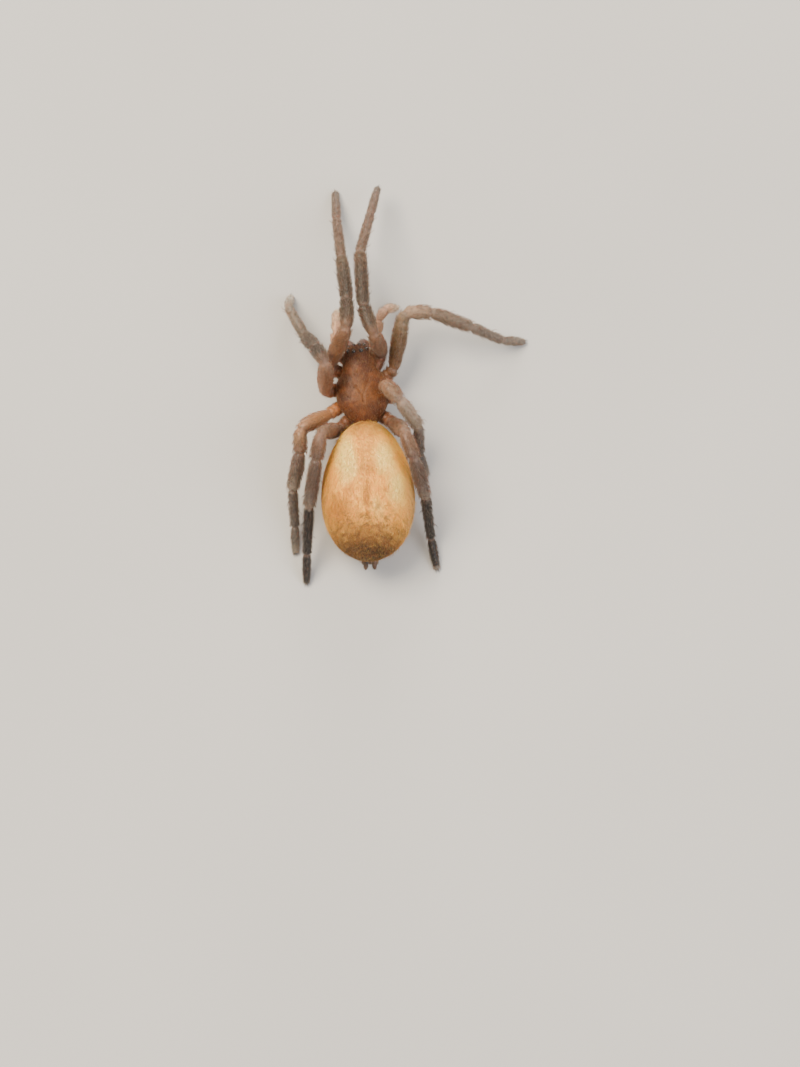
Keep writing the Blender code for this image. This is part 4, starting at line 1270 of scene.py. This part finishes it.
# Breastplate: a shield that narrows to a point behind, lobed between the coxae
def sternumPoint(spot):
    half = (sternum["width"] / 2, sternum["length"] / 2, sternum["depth"] / 2)
    point = pillowPoint(spot, Vector((0, 0, 0)), half, sternum["squareness"])
    share = point.y / half[1]
    lobes = 1.0 - 0.035 * math.cos(share * 9.0)
    point.x *= lobes * (1.0 - 0.28 * max(0.0, -share) ** 2)
    return sternum["middle"] + point


mouth = {"maxilla": (0.33, 1.12, 0.88), "maxillaHalf": (0.16, 0.36, 0.19), "squareness": 0.8,
         "lean": 0.05, "brushHairs": 140, "labium": (0.0, 1.0, 0.84), "labiumHalf": (0.13, 0.2, 0.11),
         "pedicel": (((0, -0.95, 1.22), 0.155), ((0, -1.25, 1.22), 0.15), ((0, -1.5, 1.24), 0.135),
                     ((0, -1.75, 1.3), 0.15), ((0, -2.2, 1.42), 0.19))}


def makePlates():
    plate = hardChitin("plateTannedChitin", "#4C210F", "#72391E", 0.46, 0.15, 0.2)
    coat = plainCoat("plateSetae", "#5A3A26", "#C2A384")
    bm = ballMesh(64, 32)
    for vert in bm.verts:
        vert.co = sternumPoint(vert.co)
    finishPiece("sternumPlate", bm, plate, ["sternum"])
    rng = np.random.default_rng(31)
    spots = unit(rng.normal(size=(900, 3)))
    spots = spots[spots[:, 2] < -0.25][:320]
    roots = np.array([sternumPoint(Vector(spot)) for spot in spots])
    normals = unit(spots * np.array((0.4, 0.3, 1.0)))
    uvs = uvLow + uvSpan / 2 * (spots[:, :2] + 1)
    count = len(spots)
    growCoat("sternumCoat", rng, roots, normals, np.tile((0.0, 1.0, 0.0), (count, 1)),
             rng.uniform(0.08, 0.18, count), rng.uniform(0.004, 0.007, count), rng.uniform(20, 50, count),
             uvs, coat)
    for side, sign in sides:
        middle = Vector((mouth["maxilla"][0] * sign, *mouth["maxilla"][1:]))
        bm = ballMesh(32, 20)
        for vert in bm.verts:
            spot = vert.co.copy()
            vert.co = pillowPoint(spot, middle, mouth["maxillaHalf"], mouth["squareness"])
            vert.co.x -= sign * mouth["lean"] * max(0.0, spot.y) ** 2      # the blades lean in over the mouth
        finishPiece(f"maxilla{side.capitalize()}", bm, plate, [f"maxilla_{side}"])
        # A brush along the inner front edge
        count = mouth["brushHairs"]
        share = rng.random(count)
        inward = -sign * (0.5 + 0.3 * rng.random(count))
        spots = unit(np.stack((inward, 0.2 + 0.9 * share, rng.normal(-0.3, 0.4, count)), axis=1))
        shape = (middle, mouth["maxillaHalf"], mouth["squareness"])
        roots = np.array([pillowPoint(Vector(spot), *shape) for spot in spots])
        roots[:, 0] -= sign * mouth["lean"] * spots[:, 1] ** 2
        lies = np.tile((-sign * 0.6, 1.0, -0.2), (count, 1))
        growCoat(f"maxilla{side.capitalize()}Brush", rng, roots, spots, lies, rng.uniform(0.07, 0.13, count),
                 np.full(count, 0.005), rng.uniform(35, 70, count),
                 uvLow + uvSpan / 2 * (spots[:, :2] + 1), coat)
    lip = ballMesh(28, 18)
    for vert in lip.verts:
        vert.co = pillowPoint(vert.co, Vector(mouth["labium"]), mouth["labiumHalf"], mouth["squareness"])
    finishPiece("labium", lip, plate)
    waist = bmesh.new()
    loft(waist, stationRings(mouth["pedicel"], 0.04, 0.1), 24)
    finishPiece("pedicel", waist, plate, ["pedicel"])
    print("plates made")


# Spinnerets: root in the frame of the abdomen, heading and pitch, length and radius
spinnerets = {
    "front": ((0.19, -2.30, -0.88), (173, -34), 0.60, 0.146),
    "rear": ((0.15, -2.62, -0.50), (176, -18), 0.48, 0.116),
    "middle": ((0.06, -2.46, -0.78), (178, -30), 0.34, 0.055),
}
spinneretTaper = ((0.0, 0.9), (0.2, 0.98), (0.42, 1.0), (0.58, 0.94), (0.64, 0.8), (0.7, 0.84), (0.88, 0.7),
                  (1.0, 0.42))
spinneretHairs = {"hairsPerSquare": 260.0, "hairLength": ((0.0, 0.07), (1.0, 0.1)), "hairRadius": 0.0055,
                  "hairTilt": (15.0, 35.0), "spines": ()}


def makeSpinnerets():
    look = abdomen
    skin = hardChitin("spinneretCuticle", "#3C2413", "#66452A", 0.55, 0.14, 0.3)
    coat = plainCoat("spinneretSetae", "#38241A", "#A5835C")
    turn = Matrix.Rotation(look["swing"], 3, "Z") @ Matrix.Rotation(look["rise"], 3, "X")
    for row, (root, aim, length, radius) in spinnerets.items():
        for side, sign in sides:
            start = Vector((root[0] * sign, root[1], root[2]))
            step = direction(sign, *aim) * length
            stations = [(look["middle"] + turn @ (start + step * share), radius * size)
                        for share, size in spinneretTaper]
            rings = stationRings(stations, 0.03, radius * 0.3)
            bm = bmesh.new()
            loft(bm, rings, 20)
            name = f"spinneret{row.capitalize()}{side.capitalize()}"
            nodes = [f"spinneret_{row}_{side}"] if row != "middle" else ()
            finishPiece(name, bm, skin, nodes)
            limbHairs(name + "Coat", 60 + len(name), rings, spinneretHairs, coat)
    # The anal tubercle above them, and the cribellum: a low plate split in two, before them
    tubercle = bmesh.new()
    start, step = Vector((0, -2.62, -0.22)), Vector((0, -0.3, -0.04))
    stations = [(look["middle"] + turn @ (start + step * share), size)
                for share, size in ((0.0, 0.17), (0.4, 0.15), (0.75, 0.1), (1.0, 0.05))]
    loft(tubercle, stationRings(stations, 0.03, 0.03), 20)
    finishPiece("analTubercle", tubercle, skin)
    plates = bmesh.new()
    for sign in (-1, 1):
        half = bmesh.ops.create_uvsphere(plates, u_segments=20, v_segments=12, radius=1.0)["verts"]
        middle = Vector((0.11 * sign, -2.08, -1.0))
        for vert in half:
            vert.co = look["middle"] + turn @ pillowPoint(vert.co, middle, (0.1, 0.06, 0.05), 0.7)
    finishPiece("cribellum", plates, skin)
    # Epigynum: the dark hard plate under the front of the belly
    hard = hardChitin("epigynumChitin", "#3A1A0E", "#6E3A20", 0.3, 0.08, 0.1)
    seal = bmesh.new()
    for middle, half in (((0.0, 0.92, -1.415), (0.2, 0.2, 0.06)), ((-0.16, 0.9, -1.41), (0.13, 0.22, 0.06)),
                         ((0.16, 0.9, -1.41), (0.13, 0.22, 0.06))):
        ball = bmesh.ops.create_uvsphere(seal, u_segments=20, v_segments=12, radius=1.0)["verts"]
        for vert in ball:
            vert.co = look["middle"] + turn @ pillowPoint(vert.co, Vector(middle), half, 0.85)
    finishPiece("epigynum", seal, hard)
    print("spinnerets made")


placeCamera()
placeLights()

floor = bmesh.new()
bmesh.ops.create_grid(floor, x_segments=1, y_segments=1, size=3000)
bmesh.ops.transform(floor, matrix=toRow, verts=floor.verts)
floorMesh = bpy.data.meshes.new("studioFloor")
floor.to_mesh(floorMesh)
floor.free()
floorMesh.materials.append(floorBoard())
studioFloor = bpy.data.objects.new("studioFloor", floorMesh)
bpy.context.scene.collection.objects.link(studioFloor)

horn = hardChitin("fangAndClawHorn", "#1C0D08", "#3A1B0F", 0.22, 0.05, 0.05)
makeLegs(horn)
makePalps()
makeAbdomen()
makeCarapace()
makeCarapaceCoat()
makeEyes()
makeJaws(horn)
makePlates()
makeSpinnerets()
